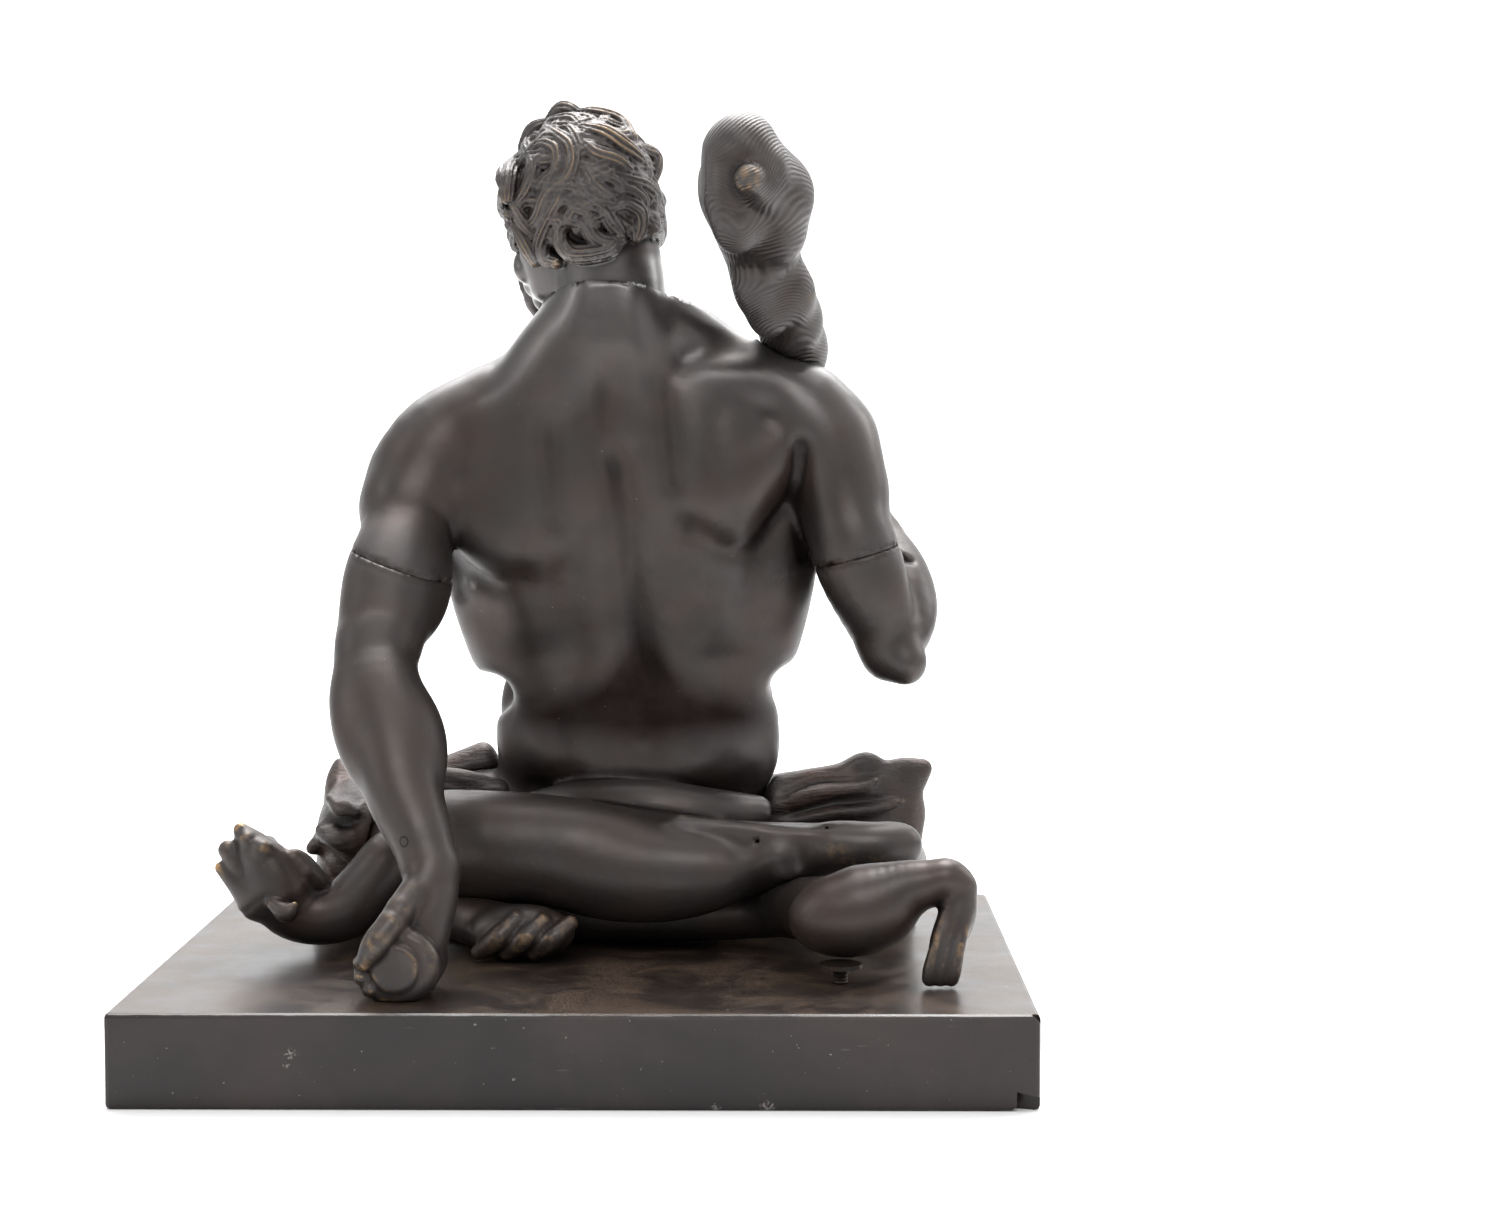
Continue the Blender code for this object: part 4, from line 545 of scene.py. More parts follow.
def beast_forms(clay):
    """The beast's body under the leg, its raised neck, its hind leg and the curled fore paw."""
    clay.limb([(-104, 8, 40), (-60, 10, 26), (-10, 8, 21), (40, 6, 19), (88, 0, 21), (112, -18, 26)],
              [22, 21, 18, 17, 16, 16], blend=8)
    clay.limb([(-100, 2, 50), (-112, -8, 50), (-124, -14, 37), (-137, -18, 25), (-153, -20, 21.5),
               (-168, -24, 26), (-180, -28, 40)], [19, 18, 17.5, 17, 16.5, 16, 15], blend=5)
    # haunch, shank, hock and hind paw
    clay.limb([(114, -24, 28), (131, -64, 32)], [16, 19], blend=8)
    clay.belly((109, -88, 31), (178, -90, 40), 46, 44, (0, -1, 0), blend=6)
    clay.belly((120, -70, 36), (184, -82, 50), 28, 28, (0, -1, 0), blend=8)
    clay.limb([(150, -88, 42), (174, -91, 50), (190, -94, 54)], [19, 14.5, 10.5], blend=6)
    clay.blob((193, -94, 56), (11.5, 10.5, 9.5), blend=5)
    clay.limb([(200, -94, 50), (198, -97, 36), (193, -100, 24), (189, -103, 14)], [9, 10, 9.2, 7], blend=5)
    for toe in range(3):
        x = 182 + 5.6 * toe
        clay.limb([(x + 10, -102, 38), (x + 5, -107, 22), (x + 2, -109, 10), (x + 1, -109, 4.8)],
                  [3, 3.8, 4.6, 4.2], blend=1.2)
    for x in (185.5, 191):
        clay.limb([(x + 3, -114, 20), (x + 1, -114, 10), (x, -114, 2)], [0.6, 1.7, 1.7], blend=1.5,
                  carve=True)
    # the curled fore paw
    clay.limb([(-74, -12, 20), (-56, -26, 17), (-30, -34, 16)], [14, 14, 12], blend=6)
    clay.blob((-37, -38, 15.5), (29, 13, 15), blend=5)
    for digit in range(3):
        x = -61 + 15 * digit
        clay.limb([(x + 1, -46, 6), (x + 11, -51, 14), (x + 21, -46, 24 - digit)], [4.6, 5.8, 4.4], blend=2)


def beast_head_forms(clay):
    """The beast's head: snout, tongue and lower jaw, with eyes, frills and a folded crest."""
    clay.limb([(-172, -28, 38), (-178, -30, 50), (-186, -31, 61), (-193, -31, 71)], [17, 14, 9.5, 4.2],
              blend=5)
    clay.limb([(-184, -30, 32), (-192, -32, 39), (-204, -32, 50)], [12, 7.5, 3.6], blend=4)
    clay.limb([(-190, -31, 46), (-196, -32, 54), (-200, -32, 60)], [7, 6, 5.6], blend=2)
    # the gape on either side of the tongue
    clay.limb([(-197, -38, 67), (-193, -42, 56), (-189, -44, 45)], [2.4, 2.6, 2.2], blend=1.5, carve=True)
    clay.limb([(-206, -37, 57), (-199, -41, 49), (-191, -44, 43)], [1.8, 2.2, 1.6], blend=1.5, carve=True)
    for side in (-1, 1):
        y = -30 + side * 9
        clay.blob((-180, y, 62), (5, 4.5, 4.5), blend=4)
        clay.limb([(-173, y + side * 6, 32), (-165, y + side * 9, 28), (-160, y + side * 10, 33)],
                  [3.5, 5.5, 1.5], blend=2)
        clay.blob((-189, y - side * 2, 67), (3.5, 3.5, 3.5), blend=3)
    # the crest behind the head
    for fold in range(3):
        clay.limb([(-169 + 4 * fold, -30, 50 - 3 * fold), (-164 + 4 * fold, -30, 56 - 4 * fold),
                   (-158 + 4 * fold, -26, 52 - 5 * fold), (-154 + 3 * fold, -22, 45 - 4 * fold)],
                  [5, 4.6, 4.2, 3.4], blend=2.5)
    clay.blob((-160, -24, 41), (11, 8, 9), blend=4)


def hide_forms(clay):
    """The hide: a thick skin on the slab, over both thighs, hanging behind the right one."""
    # pad on the slab under him
    clay.limb([(-120, 60, 2), (-60, 78, 4), (20, 84, 4), (100, 84, 4), (150, 76, 2)], [34, 36, 40, 40, 36],
              blend=6, flat=0.24, facing=(0, 0, 1))
    # left: the mask's heap over the knee
    clay.blob((-131, 36, 60), (31, 35, 29), blend=6)
    clay.limb([(-150, 14, 82), (-143, 5, 80), (-135, 2, 76)], [4, 4.4, 3], blend=6)
    clay.blob((-144, 3, 70), (7, 5, 4), blend=4, carve=True)
    clay.limb([(-156, 14, 64), (-147, 4, 60), (-137, 2, 62)], [4, 4.4, 3], blend=6)
    clay.limb([(-136, 48, 66), (-146, 58, 72), (-151, 66, 84), (-153, 70, 93)], [24, 16, 11, 6], blend=8)
    clay.limb([(-144, 36, 50), (-150, 42, 34), (-148, 54, 10)], [16, 15, 20], blend=8)
    clay.limb([(-150, 28, 58), (-158, 22, 55), (-162, 18, 53)], [9, 6, 4], blend=4)
    clay.limb([(-124, 70, 62), (-90, 78, 70), (-62, 80, 72)], [24, 18, 15], blend=8)
    clay.limb([(-100, 84, 84), (-84, 88, 91), (-72, 90, 99)], [11, 10, 7], blend=6)
    clay.limb([(-84, 88, 88), (-70, 88, 93)], [9, 8], blend=5)
    clay.blob((-74, 88, 91), (13, 6, 8), blend=4)
    clay.limb([(-112, 42, 84), (-86, 38, 88), (-58, 38, 84)], [9, 9, 7], blend=4)
    # right: heaped under the foot
    clay.limb([(96, 14, 16), (140, 12, 23), (172, 8, 22)], [18, 23, 21], blend=6)
    # over the right thigh, and hanging towards the viewer as a thick panel with a rolled edge
    clay.limb([(84, 88, 58), (130, 98, 64), (168, 106, 66)], [26, 25, 22], blend=8)
    clay.limb([(102, 68, 83), (120, 68, 87), (140, 69, 90), (155, 71, 96), (166, 72, 92), (178, 73, 93),
               (189, 75, 92)], [5, 5.5, 6, 6.5, 5.5, 6, 6], blend=4)
    for row, (z, thick) in enumerate([(76, 8), (66, 10), (54, 12), (41, 13), (28, 13), (14, 13)]):
        clay.limb([(104, 62 + 2 * row, z - 3), (146, 64 + 2 * row, z), (181 - 2 * row, 72 + row, z)],
                  [thick, thick + 1, thick - 1], blend=7)
    clay.limb([(104, 66, 80), (140, 68, 82), (164, 71, 84), (182, 74, 84)], [7, 8, 8, 7], blend=6)
    clay.limb([(187, 76, 86), (183, 74, 78), (186, 75, 66), (183, 74, 50)], [5, 5, 5, 5], blend=4)


def head_axes():
    """The head's own side, front and up, as unit ways."""
    front = np.array([-0.40, 0.85, -0.34])
    front /= np.linalg.norm(front)
    up = np.array([0.02, 0.0, 1.0])
    up = up - front * (up @ front)
    up /= np.linalg.norm(up)
    side = np.cross(front, up)
    return side, front, up


# The middle of the head
HEAD_CENTRE = (-8, 38, 421)


def head_forms(clay):
    """Skull, face and beard. Places are (side, front, up) from the head's centre."""
    axes = head_axes()
    turn = np.array(axes)

    def at(s, f, u):
        return np.array(HEAD_CENTRE, float) + s * axes[0] + f * axes[1] + u * axes[2]

    clay.blob(at(0, -4, 4), (35, 42, 38), turn, blend=8)
    clay.limb([at(0, 18, -8), at(0, 22, -34)], [30, 20], blend=10)
    clay.limb([(9, 34, 345), (9, 34, 372), (4, 36, 404)], [31.5, 30.5, 30], blend=10)
    clay.blob(at(0, 34, 16), (26, 10, 12), turn, blend=6)
    clay.limb([at(-13, 42, 10), at(13, 42, 10)], [5, 5], blend=4)
    clay.limb([at(0, 44, 8), at(0, 48, -2), at(0, 53, -12)], [4.5, 5, 6], blend=4)
    clay.blob(at(0, 45, -22), (12, 6, 4), turn, blend=3)
    for s in (-1, 1):
        clay.blob(at(s * 15, 43, 1), (8.5, 8, 6.5), turn, blend=4, carve=True)
        clay.blob(at(s * 15, 37, 1), (7, 6.5, 5.5), turn, blend=2)
        clay.blob(at(s * 24, 32, -8), (11, 9, 9), turn, blend=6)
        clay.blob(at(s * 6, 47, -13), (4, 4, 4), turn, blend=2)
        clay.limb([at(s * 39, 0, 8), at(s * 41, -3, 0), at(s * 38, 0, -8)], [5, 5, 4], blend=3)
    # beard in thick curls
    clay.limb([at(0, 34, -30), (-27, 71, 382), (-35, 77, 369), (-32, 77, 359)], [18, 14, 10, 6], blend=7)
    for s in (-1, 1):
        clay.limb([at(s * 29, 8, -6), at(s * 25, 14, -24), at(s * 16, 24, -42)], [8, 10, 11], blend=7)
        clay.limb([at(s * 3, 47, -18), at(s * 13, 44, -22), at(s * 18, 38, -32)], [4, 4.5, 4], blend=3)
        for curl in range(4):
            c = at(s * (7 + 7 * curl), 45 - 6 * curl, -34 - 6 * (3 - curl) + 4)
            clay.blob(c, (7, 7, 10), turn, blend=3)


# The locks that the photograph shows, over the back of the head: a path of (x, y, z), and its radius
LOCKS = {
    "upper_left": ([(-40, 33, 451), (-34, 32, 459), (-27, 31, 463)], 5),
    "crown": ([(-24, 31, 466), (-17, 29, 470), (-9, 30, 467)], 5.5),
    "crown_right": ([(-9, 30, 467), (1, 30, 466), (13, 29, 462), (20, 31, 454)], 6),
    "band": ([(-3, 18, 457), (7, 16, 453), (16, 15, 447), (24, 30, 442)], 6.5),
    "wave": ([(-3, 5, 448), (3, 3, 443), (13, 5, 440), (19, 9, 436)], 5),
    "hollow": ([(-4, 1, 438), (0, -1, 430), (6, 0, 424), (13, 3, 421)], 4),
    "hollow_low": ([(-7, 0, 437), (-5, -1, 426), (3, 0, 419), (12, 4, 417)], 3.6),
    "right_edge": ([(25, 31, 449), (31, 31, 446), (33, 32, 441), (32, 33, 433)], 5),
    "right_curl": ([(21, 12, 435), (25, 23, 441), (28, 33, 441), (28, 34, 436)], 3.6),
    "right_wave": ([(15, 4, 432), (21, 10, 430), (28, 27, 428), (33, 33, 423), (32, 35, 417)], 4.5),
    "right_fall": ([(13, 3, 424), (19, 8, 425), (26, 18, 420), (27, 26, 411)], 4.5),
    "right_low": ([(33, 33, 427), (35, 34, 421), (32, 35, 415)], 4),
    "right_tip": ([(27, 34, 412), (32, 35, 410), (32, 36, 405), (27, 36, 401)], 4),
    "bun": ([(11, 4, 415), (18, 7, 417), (24, 17, 413), (25, 33, 406), (24, 38, 400)], 5.5),
    "bun_in": ([(8, 4, 413), (11, 8, 407), (15, 15, 402)], 5),
    "roll": ([(-8, 3, 409), (-3, 5, 405), (1, 10, 399), (8, 17, 396), (16, 25, 397)], 4.2),
    "roll_low": ([(-18, 9, 404), (-17, 14, 396), (-11, 19, 390), (-2, 23, 389), (9, 27, 391), (13, 27, 394)],
                 5),
    "curl_left": ([(-11, -1, 422), (-9, 0, 415), (-3, 1, 412), (0, 4, 406)], 3.6),
    "long_left": ([(-14, 0, 425), (-18, 2, 417), (-26, 14, 404), (-29, 24, 396), (-27, 40, 388),
                   (-21, 42, 385)], 4.5),
    "fall_left": ([(-21, 3, 429), (-25, 7, 419), (-29, 13, 410), (-35, 22, 406)], 4.5),
    "left_lock": ([(-36, 31, 447), (-43, 36, 442), (-46, 38, 432), (-47, 39, 421)], 5),
    "left_dark": ([(-34, 25, 444), (-31, 13, 436), (-34, 14, 426), (-40, 25, 419)], 5),
    "left_edge": ([(-47, 37, 442), (-50, 38, 434), (-48, 40, 425)], 4.5),
    "left_lump": ([(-50, 40, 423), (-51, 41, 417), (-47, 42, 412)], 4.5),
    "left_low": ([(-43, 33, 416), (-38, 25, 408), (-32, 23, 400)], 4.5),
    "s_top": ([(-34, 32, 457), (-36, 34, 449), (-32, 16, 441)], 4.5),
    "s_round": ([(-26, 31, 459), (-19, 18, 454), (-11, 6, 447), (-9, 1, 438), (-12, 0, 430), (-18, 2, 426)],
                4.6),
    "s_beside": ([(-16, 30, 461), (-10, 14, 455), (-6, 5, 447), (-6, 1, 440)], 3.6),
    "s_lock": ([(-31, 22, 449), (-24, 12, 449), (-18, 4, 445), (-17, 1, 438), (-20, 0, 432)], 4.6),
    "curl_row": ([(-27, 32, 457), (-23, 30, 462), (-17, 28, 463), (-11, 27, 463), (-7, 28, 460)], 4.6),
    "jaw": ([(-44, 43, 406), (-38, 43, 396), (-33, 44, 386)], 4),
}
# The curls of the beard that show beside the neck
BEARD_CURLS = [[(-36, 68, 396), (-41, 73, 386), (-41, 77, 375), (-36, 79, 365), (-33, 79, 357)],
               [(-30, 62, 392), (-33, 66, 382), (-34, 70, 372), (-30, 74, 362), (-30, 76, 356)],
               [(-26, 86, 392), (-32, 88, 380), (-38, 86, 370), (-36, 84, 360), (-31, 82, 356)]]
# A lock's strands, and how deep they part as a share of its radius. The hair ends at the nape's height in mm
STRANDS = 11
GROOVE = 0.30
NAPE_HEIGHT = 398


def hair_locks():
    """Locks for the sides and crown that the photograph hides: they wave down from the crown to the nape."""
    axes = head_axes()
    centre = np.array(HEAD_CENTRE, float)
    rng = np.random.default_rng(7)
    rows = [(12, 7), (34, 12), (56, 16), (78, 18), (100, 18), (120, 14)]
    locks = []
    for level, (tilt, count) in enumerate(rows):
        for k in range(count):
            turn = 2 * np.pi * (k + 0.5 * (level % 2) + 0.3 * rng.uniform(-1, 1)) / count
            wave = rng.uniform(0.6, 1.0) * (1 if (k + level) % 2 else -1)
            t = np.linspace(0, 1, 7)[:, None]
            a = np.radians(tilt + 34 * t)
            b = turn + wave * 0.28 * np.sin(3.2 * np.pi * t) + wave * 0.2 * t
            way = np.hstack([np.sin(a) * np.sin(b), -np.sin(a) * np.cos(b) - 0.10, np.cos(a) + 0.05])
            lift = 1.0 + 0.07 * np.sin(np.pi * t) + 0.02 * (level % 2)
            path = centre + (way * (35, 43, 37) + (0, 0, 4)) * lift @ np.array(axes)
            middle = path[3] - centre
            forward, up = middle @ axes[1], middle @ axes[2]
            # the face and the neck stay free of hair
            if (forward > 22 and up < 26) or (forward > 6 and up < -12) or path[4][2] < NAPE_HEIGHT:
                continue
            locks.append(path)
    return locks


def settle(clay, path, proud):
    """Moves a path's points along the distance field's slope until they stand this proud of the clay."""
    path = np.array(path, float)
    for _ in range(4):
        places = (path - clay.low) / clay.cell
        value = read_points(clay.field, places)
        slope = np.stack([read_points(clay.field, places + step) - read_points(clay.field, places - step)
                          for step in np.eye(3)], 1)
        slope /= np.linalg.norm(slope, axis=1)[:, None] + 1e-6
        path -= np.clip(value - proud, -4, 4)[:, None] * slope
    return path


def lay_on(clay, path, proud):
    """Moves a path's points along Y, the way they are seen, to where they stand this proud of the clay."""
    path = np.array(path, float)
    depths = np.arange(-30, 60, 0.5)
    for point in path:
        ray = np.column_stack([np.full(len(depths), point[0]), depths, np.full(len(depths), point[2])])
        inside = read_points(clay.field, (ray - clay.low) / clay.cell) < proud
        if inside.any():
            point[1] = depths[inside.argmax()]
    return path


def hair_forms(clay):
    """Two layers of locks over the bald head, each combed into strands."""
    combed = {"strands": STRANDS, "groove": GROOVE, "middle": np.array(HEAD_CENTRE, float)}
    bald = Clay(clay.low, clay.low, clay.cell)
    bald.field = blurred(np.clip(clay.field, -12, 12), 2)
    for path in hair_locks():
        path = settle(bald, path, 1.0)
        clay.limb(path, [4.5, 6.2, 6.4, 6.2, 5.8, 4.6, 2.4], blend=1.2, steps=3, **combed)
    for path, radius in LOCKS.values():
        path = lay_on(bald, path, 3.0)
        ends = np.sin(np.linspace(0.45, np.pi - 0.6, len(path))) ** 0.5
        clay.limb(path, (radius + 1.2) * ends, blend=1.0, steps=5, **combed)
    for path in BEARD_CURLS:
        clay.limb(path, [5.5, 6.8, 6.4, 5.2, 2.6], blend=1.0, steps=4, **combed)


# Folds over the hide, as they are seen: a path of (x, y, z), a radius, and whether it is cut in
HIDE_FOLDS = [
    ([(100, 60, 72), (124, 60, 80), (150, 60, 82), (166, 60, 90)], 2.6, False),
    ([(100, 60, 66), (130, 60, 73), (160, 60, 76), (186, 60, 86)], 2.2, True),
    ([(108, 60, 62), (136, 60, 68), (162, 60, 70), (184, 60, 78)], 2.6, False),
    ([(118, 60, 60), (148, 60, 63), (184, 60, 70)], 2.0, True),
    ([(106, 60, 78), (126, 60, 86), (146, 60, 87)], 1.8, True),
    ([(112, 60, 68), (140, 60, 76), (172, 60, 80)], 1.6, True),
    ([(150, 60, 90), (162, 60, 92), (176, 60, 88)], 1.6, True),
    ([(-158, 0, 66), (-150, 0, 70), (-140, 0, 68), (-132, 0, 72)], 1.8, True),
    ([(-154, 0, 88), (-148, 0, 78), (-140, 0, 76), (-132, 0, 80)], 2.2, False),
    ([(-150, 0, 92), (-146, 0, 84), (-138, 0, 84)], 1.6, True),
    ([(-158, 0, 58), (-150, 0, 60), (-140, 0, 54), (-134, 0, 58)], 2.2, False),
    ([(-156, 0, 50), (-148, 0, 50), (-140, 0, 44)], 1.8, True),
    ([(-152, 0, 40), (-148, 0, 30), (-150, 0, 18)], 2.0, False),
    ([(-104, 0, 86), (-90, 0, 90), (-74, 0, 87), (-62, 0, 88)], 1.8, True),
]

# Creases round the heel of the folded leg and beside its ankle, and their radius
FOOT_CREASES = [[(131, -36, 71), (137, -36, 62), (146, -36, 50)],
                [(147, -36, 72), (151, -36, 61), (160, -36, 50)],
                [(170, -36, 66), (160, -36, 68), (154, -36, 62), (162, -36, 55)],
                [(92, -36, 66), (104, -36, 60), (116, -36, 62)]]
FOOT_CREASE_RADIUS = 2.0


def foot_creases(clay):
    """Carves the creases of the foot's skin."""
    for path in FOOT_CREASES:
        radii = np.full(len(path), FOOT_CREASE_RADIUS)
        clay.limb(lay_on(clay, path, 0.5), radii, blend=1.5, steps=3, carve=True)


def hide_folds(clay):
    """Lays each fold on the hide, thin at both ends."""
    for path, radius, cut_in in HIDE_FOLDS:
        path = lay_on(clay, path, 0.0)
        ends = np.sin(np.linspace(0.5, np.pi - 0.5, len(path)))
        clay.limb(path, radius * ends, blend=2.5, steps=3, carve=cut_in)


def mould(forms, low, high, cell, *more):
    """A block of clay with these forms in it."""
    clay = Clay(low, high, cell)
    for add in (forms, *more):
        add(clay)
    return clay


def cut_at(clay, seam, normal, side):
    """Cuts clay at half a seam's gap from the seam's plane. side is 1 to keep the clay behind its normal."""
    way = side * np.array(normal, float) / np.linalg.norm(normal)
    clay.halfspace(np.array(seam, float) - way * SEAM_GAP / 2, way)


def arm(forms, seam, normal, side):
    """An arm's forms as clay, on one side of its seam."""
    clay = mould(forms, (-160, -170, -8), (230, 200, 340), ARM_CELL)
    cut_at(clay, seam, normal, side)
    return clay


def model_castings():
    """Every bronze piece as clay, each one cut back by the pieces that it meets."""
    low, high = (-190, -60, -8), (215, 188, 400)
    body = mould(body_forms, low, high, TORSO_CELL, left_leg_forms, right_leg_forms, back_strokes)
    body.soften(2)
    foot_creases(body)
    trunk = Clay(low, high, TORSO_CELL)
    trunk.field = body.field.copy()
    body.add(arm(left_arm_forms, LEFT_SEAM, LEFT_SEAM_NORMAL, 1), 9)
    body.add(arm(right_upper_arm_forms, RIGHT_SEAM, RIGHT_SEAM_NORMAL, 1), 9)
    left_arm = mould(left_arm_forms, (-160, -170, -8), (-50, 200, 340), ARM_CELL)
    left_arm.add(trunk, 9)
    left_arm.soften(4)
    left_hand_forms(left_arm)
    cut_at(left_arm, LEFT_SEAM, LEFT_SEAM_NORMAL, -1)
    right_arm = mould(right_upper_arm_forms, (90, -60, 100), (230, 200, 340), ARM_CELL)
    right_arm.add(trunk, 9)
    cut_at(right_arm, RIGHT_SEAM, RIGHT_SEAM_NORMAL, -1)
    forearm = mould(right_forearm_forms, (90, -30, 100), (230, 200, 340), ARM_CELL, right_hand_forms)
    forearm.keep_off(body, FLANK_GAP)
    right_arm.add(forearm, 5)
    right_arm.limb(RIGHT_CROOK, [4, 4, 4], blend=1, carve=True)
    club = mould(club_forms, (20, -110, 180), (180, 200, 480), CLUB_CELL)
    beast = mould(beast_forms, (-240, -134, -8), (240, 60, 110), BEAST_CELL, beast_head_forms)
    head = mould(head_forms, (-90, -40, 330), (70, 140, 490), HEAD_CELL, hair_forms)
    cut_at(body, NECK_SEAM, NECK_SEAM_NORMAL, 1)
    cut_at(head, NECK_SEAM, NECK_SEAM_NORMAL, -1)

    body.keep_off(club, CONTACT_GAP)
    right_arm.keep_off(club, CONTACT_GAP)
    for side in (left_arm, right_arm):
        side.keep_off(trunk, CONTACT_GAP)
        side.keep_off(body, SEAM_GAP)
    beast.keep_off(body, CONTACT_GAP)
    hide = mould(hide_forms, low, high, HIDE_CELL, hide_folds)
    hide.keep_off(body, CONTACT_GAP)
    hide.keep_off(beast, CONTACT_GAP)
    for clay in (body, beast, left_arm, hide):
        clay.halfspace((0, 0, REST_GAP), (0, 0, -1))
    for clay in (right_arm, club, hide):
        clay.soften(1)
    return {"torso": body, "head": head, "left_arm": left_arm, "right_arm": right_arm, "club": club,
            "hydra": beast, "lion_skin": hide}


def place(name, points, faces):
    """A smooth mesh object from numpy points and faces."""
    mesh = bpy.data.meshes.new(name)
    corners = faces.shape[1]
    mesh.vertices.add(len(points))
    mesh.vertices.foreach_set("co", np.ravel(points).astype(np.float32))
    mesh.loops.add(faces.size)
    mesh.loops.foreach_set("vertex_index", np.ravel(faces).astype(np.int32))
    mesh.polygons.add(len(faces))
    mesh.polygons.foreach_set("loop_start", np.arange(0, faces.size, corners, dtype=np.int32))
    mesh.polygons.foreach_set("use_smooth", np.ones(len(faces), bool))
    mesh.update(calc_edges=True)
    mesh.validate()
    made = bpy.data.objects.new(name, mesh)
    bpy.context.scene.collection.objects.link(made)
    return made


# Where hands and knocks have rubbed a piece down to the golden metal: a place in the figure's mm, and a size
RUBBED = {
    "club_skin": [((88, -72, 424), 9), ((84, -60, 397), 7), ((125, 4, 366), 7)],
    "torso_skin": [((137, -40, 60), 5), ((146, -40, 52), 5), ((156, -42, 54), 5)],
    "left_arm_skin": [((-90, -146, 46), 7), ((-100, -156, 32), 8), ((-107, -152, 16), 8),
                      ((-78, -150, 22), 7), ((-84, -134, 58), 6), ((-98, -150, 2), 6)],
    "hydra_skin": [((-175, -42, 56), 9), ((-193, -31, 72), 8), ((-205, -34, 51), 8), ((-180, -40, 36), 7),
                   ((194, -106, 22), 12), ((206, -98, 46), 8), ((-34, -50, 18), 20)],
}
# Where the club's grain swells: a place, how far the lines are pushed aside, and a reach, in mm
KNOTS = [((88, -68, 424), 16, 14), ((84, -56, 396), 12, 12), ((90, -8, 369), 14, 12),
         ((122, 10, 366), 12, 10), ((118, 50, 340), 12, 10), ((66, -48, 440), 14, 12)]


def grain_lines(points):
    """A height in mm whose level lines are the wood's grain, which swells round each knot.

    It is a plane aslant to the branch, two sine waves, and a bell of its own reach at each knot.
    """
    x, y, z = points.T
    height = 0.86 * z - 0.42 * x + 0.30 * y + 3.0 * np.sin(x / 11 + z / 17) + 2.0 * np.sin(y / 9 - z / 13)
    for knot, rise, reach in KNOTS:
        height = height + rise * np.exp(-((points - knot) ** 2).sum(axis=1) / reach**2)
    return height


def loin_shade(points):
    """How strong the painted shade on the loins is: 1 in a band that is pulled up along the spine and fades
    out over the hips.
    """
    x, y, z = points.T
    aside = np.abs(x - 26)
    upper = 156 + 30 * np.exp(-((aside / 18) ** 2)) - 0.003 * aside**2
    lower = 106 + 0.10 * aside
    band = np.clip((upper - z) / 20, 0, 1) * np.clip((z - lower) / 16, 0, 1)
    return band * np.clip((62 - y) / 24, 0, 1) * np.clip((92 - aside) / 20, 0, 1)


def neck_polish_and_highlight(points):
    """How far the wax shines and the painted highlight lightens the colour: 0 on the shoulders, 1 on the
    neck, and 0 again at the hair and the beard.
    """
    x, y, z = points.T
    rise = np.clip((z - 300 + 0.25 * np.abs(x - 10)) / 76, 0, 1)
    rise = rise * rise * (3 - 2 * rise)
    return rise * np.clip((NAPE_HEIGHT - 6 - z) / 6, 0, 1) * np.clip((62 - y) / 8, 0, 1)


SEAMS = [(NECK_SEAM, NECK_SEAM_NORMAL), (LEFT_SEAM, LEFT_SEAM_NORMAL), (RIGHT_SEAM, RIGHT_SEAM_NORMAL)]
# How far a seam reaches round its middle, and how near to it nothing is rubbed or darkened, in mm
SEAM_REACH = 48.0
SEAM_BAND = 3.5
# The reaches over which a point stands proud of the clay round it, in mm
NEAR_REACH = 3.0
FAR_REACH = 9.0
SHARP = np.radians(70)
# the pieces whose necks get the wax and the painted highlight
WAXED_AND_HIGHLIGHTED = ("torso_skin", "head_skin")


def skin(name, clay):
    """A casting's skin, with how proud each point stands, near and far, as attributes."""
    points, quads = clay.surface()
    near = clay.stands_proud(points, NEAR_REACH)
    far = clay.stands_proud(points, FAR_REACH)
    for middle, normal in SEAMS:
        offset = points - middle
        across = np.array(normal) / np.linalg.norm(normal)
        above = offset @ across
        around = np.linalg.norm(offset, axis=1) < SEAM_REACH
        # the cut edges stay crisp
        edge = around & (np.abs(above) < 0.8 * clay.cell)
        points[edge] += ((np.sign(above) * SEAM_GAP / 2 - above)[:, None] * across)[edge]
        joint = (np.abs(above) < SEAM_BAND) & around
        near[joint] = np.minimum(near[joint], 0.0)
        far[joint] = 0.0
    metres = points * MILLIMETRE + (0, 0, BASE_HEIGHT)
    a, b, c = (metres[quads[:, k]] for k in range(3))
    if np.einsum("ij,ij->i", np.cross(b - a, c - a), a).sum() < 0:
        quads = quads[:, ::-1]
    made = place(name, metres, quads)
    made.data.set_sharp_from_angle(angle=SHARP)
    rubbed = np.zeros(len(points))
    for spot, size in RUBBED.get(name, ()):
        rubbed += np.exp(-((points - spot) ** 2).sum(axis=1) / size**2)
    values = {"proud_near": near, "proud_far": far, "rubbed": rubbed, "grain": grain_lines(points),
              "loins": loin_shade(points), "polish_and_highlight": neck_polish_and_highlight(points) * (name in WAXED_AND_HIGHLIGHTED)}
    for key, value in values.items():
        made.data.attributes.new(key, "FLOAT", "POINT").data.foreach_set("value", value.astype(np.float32))
    return made


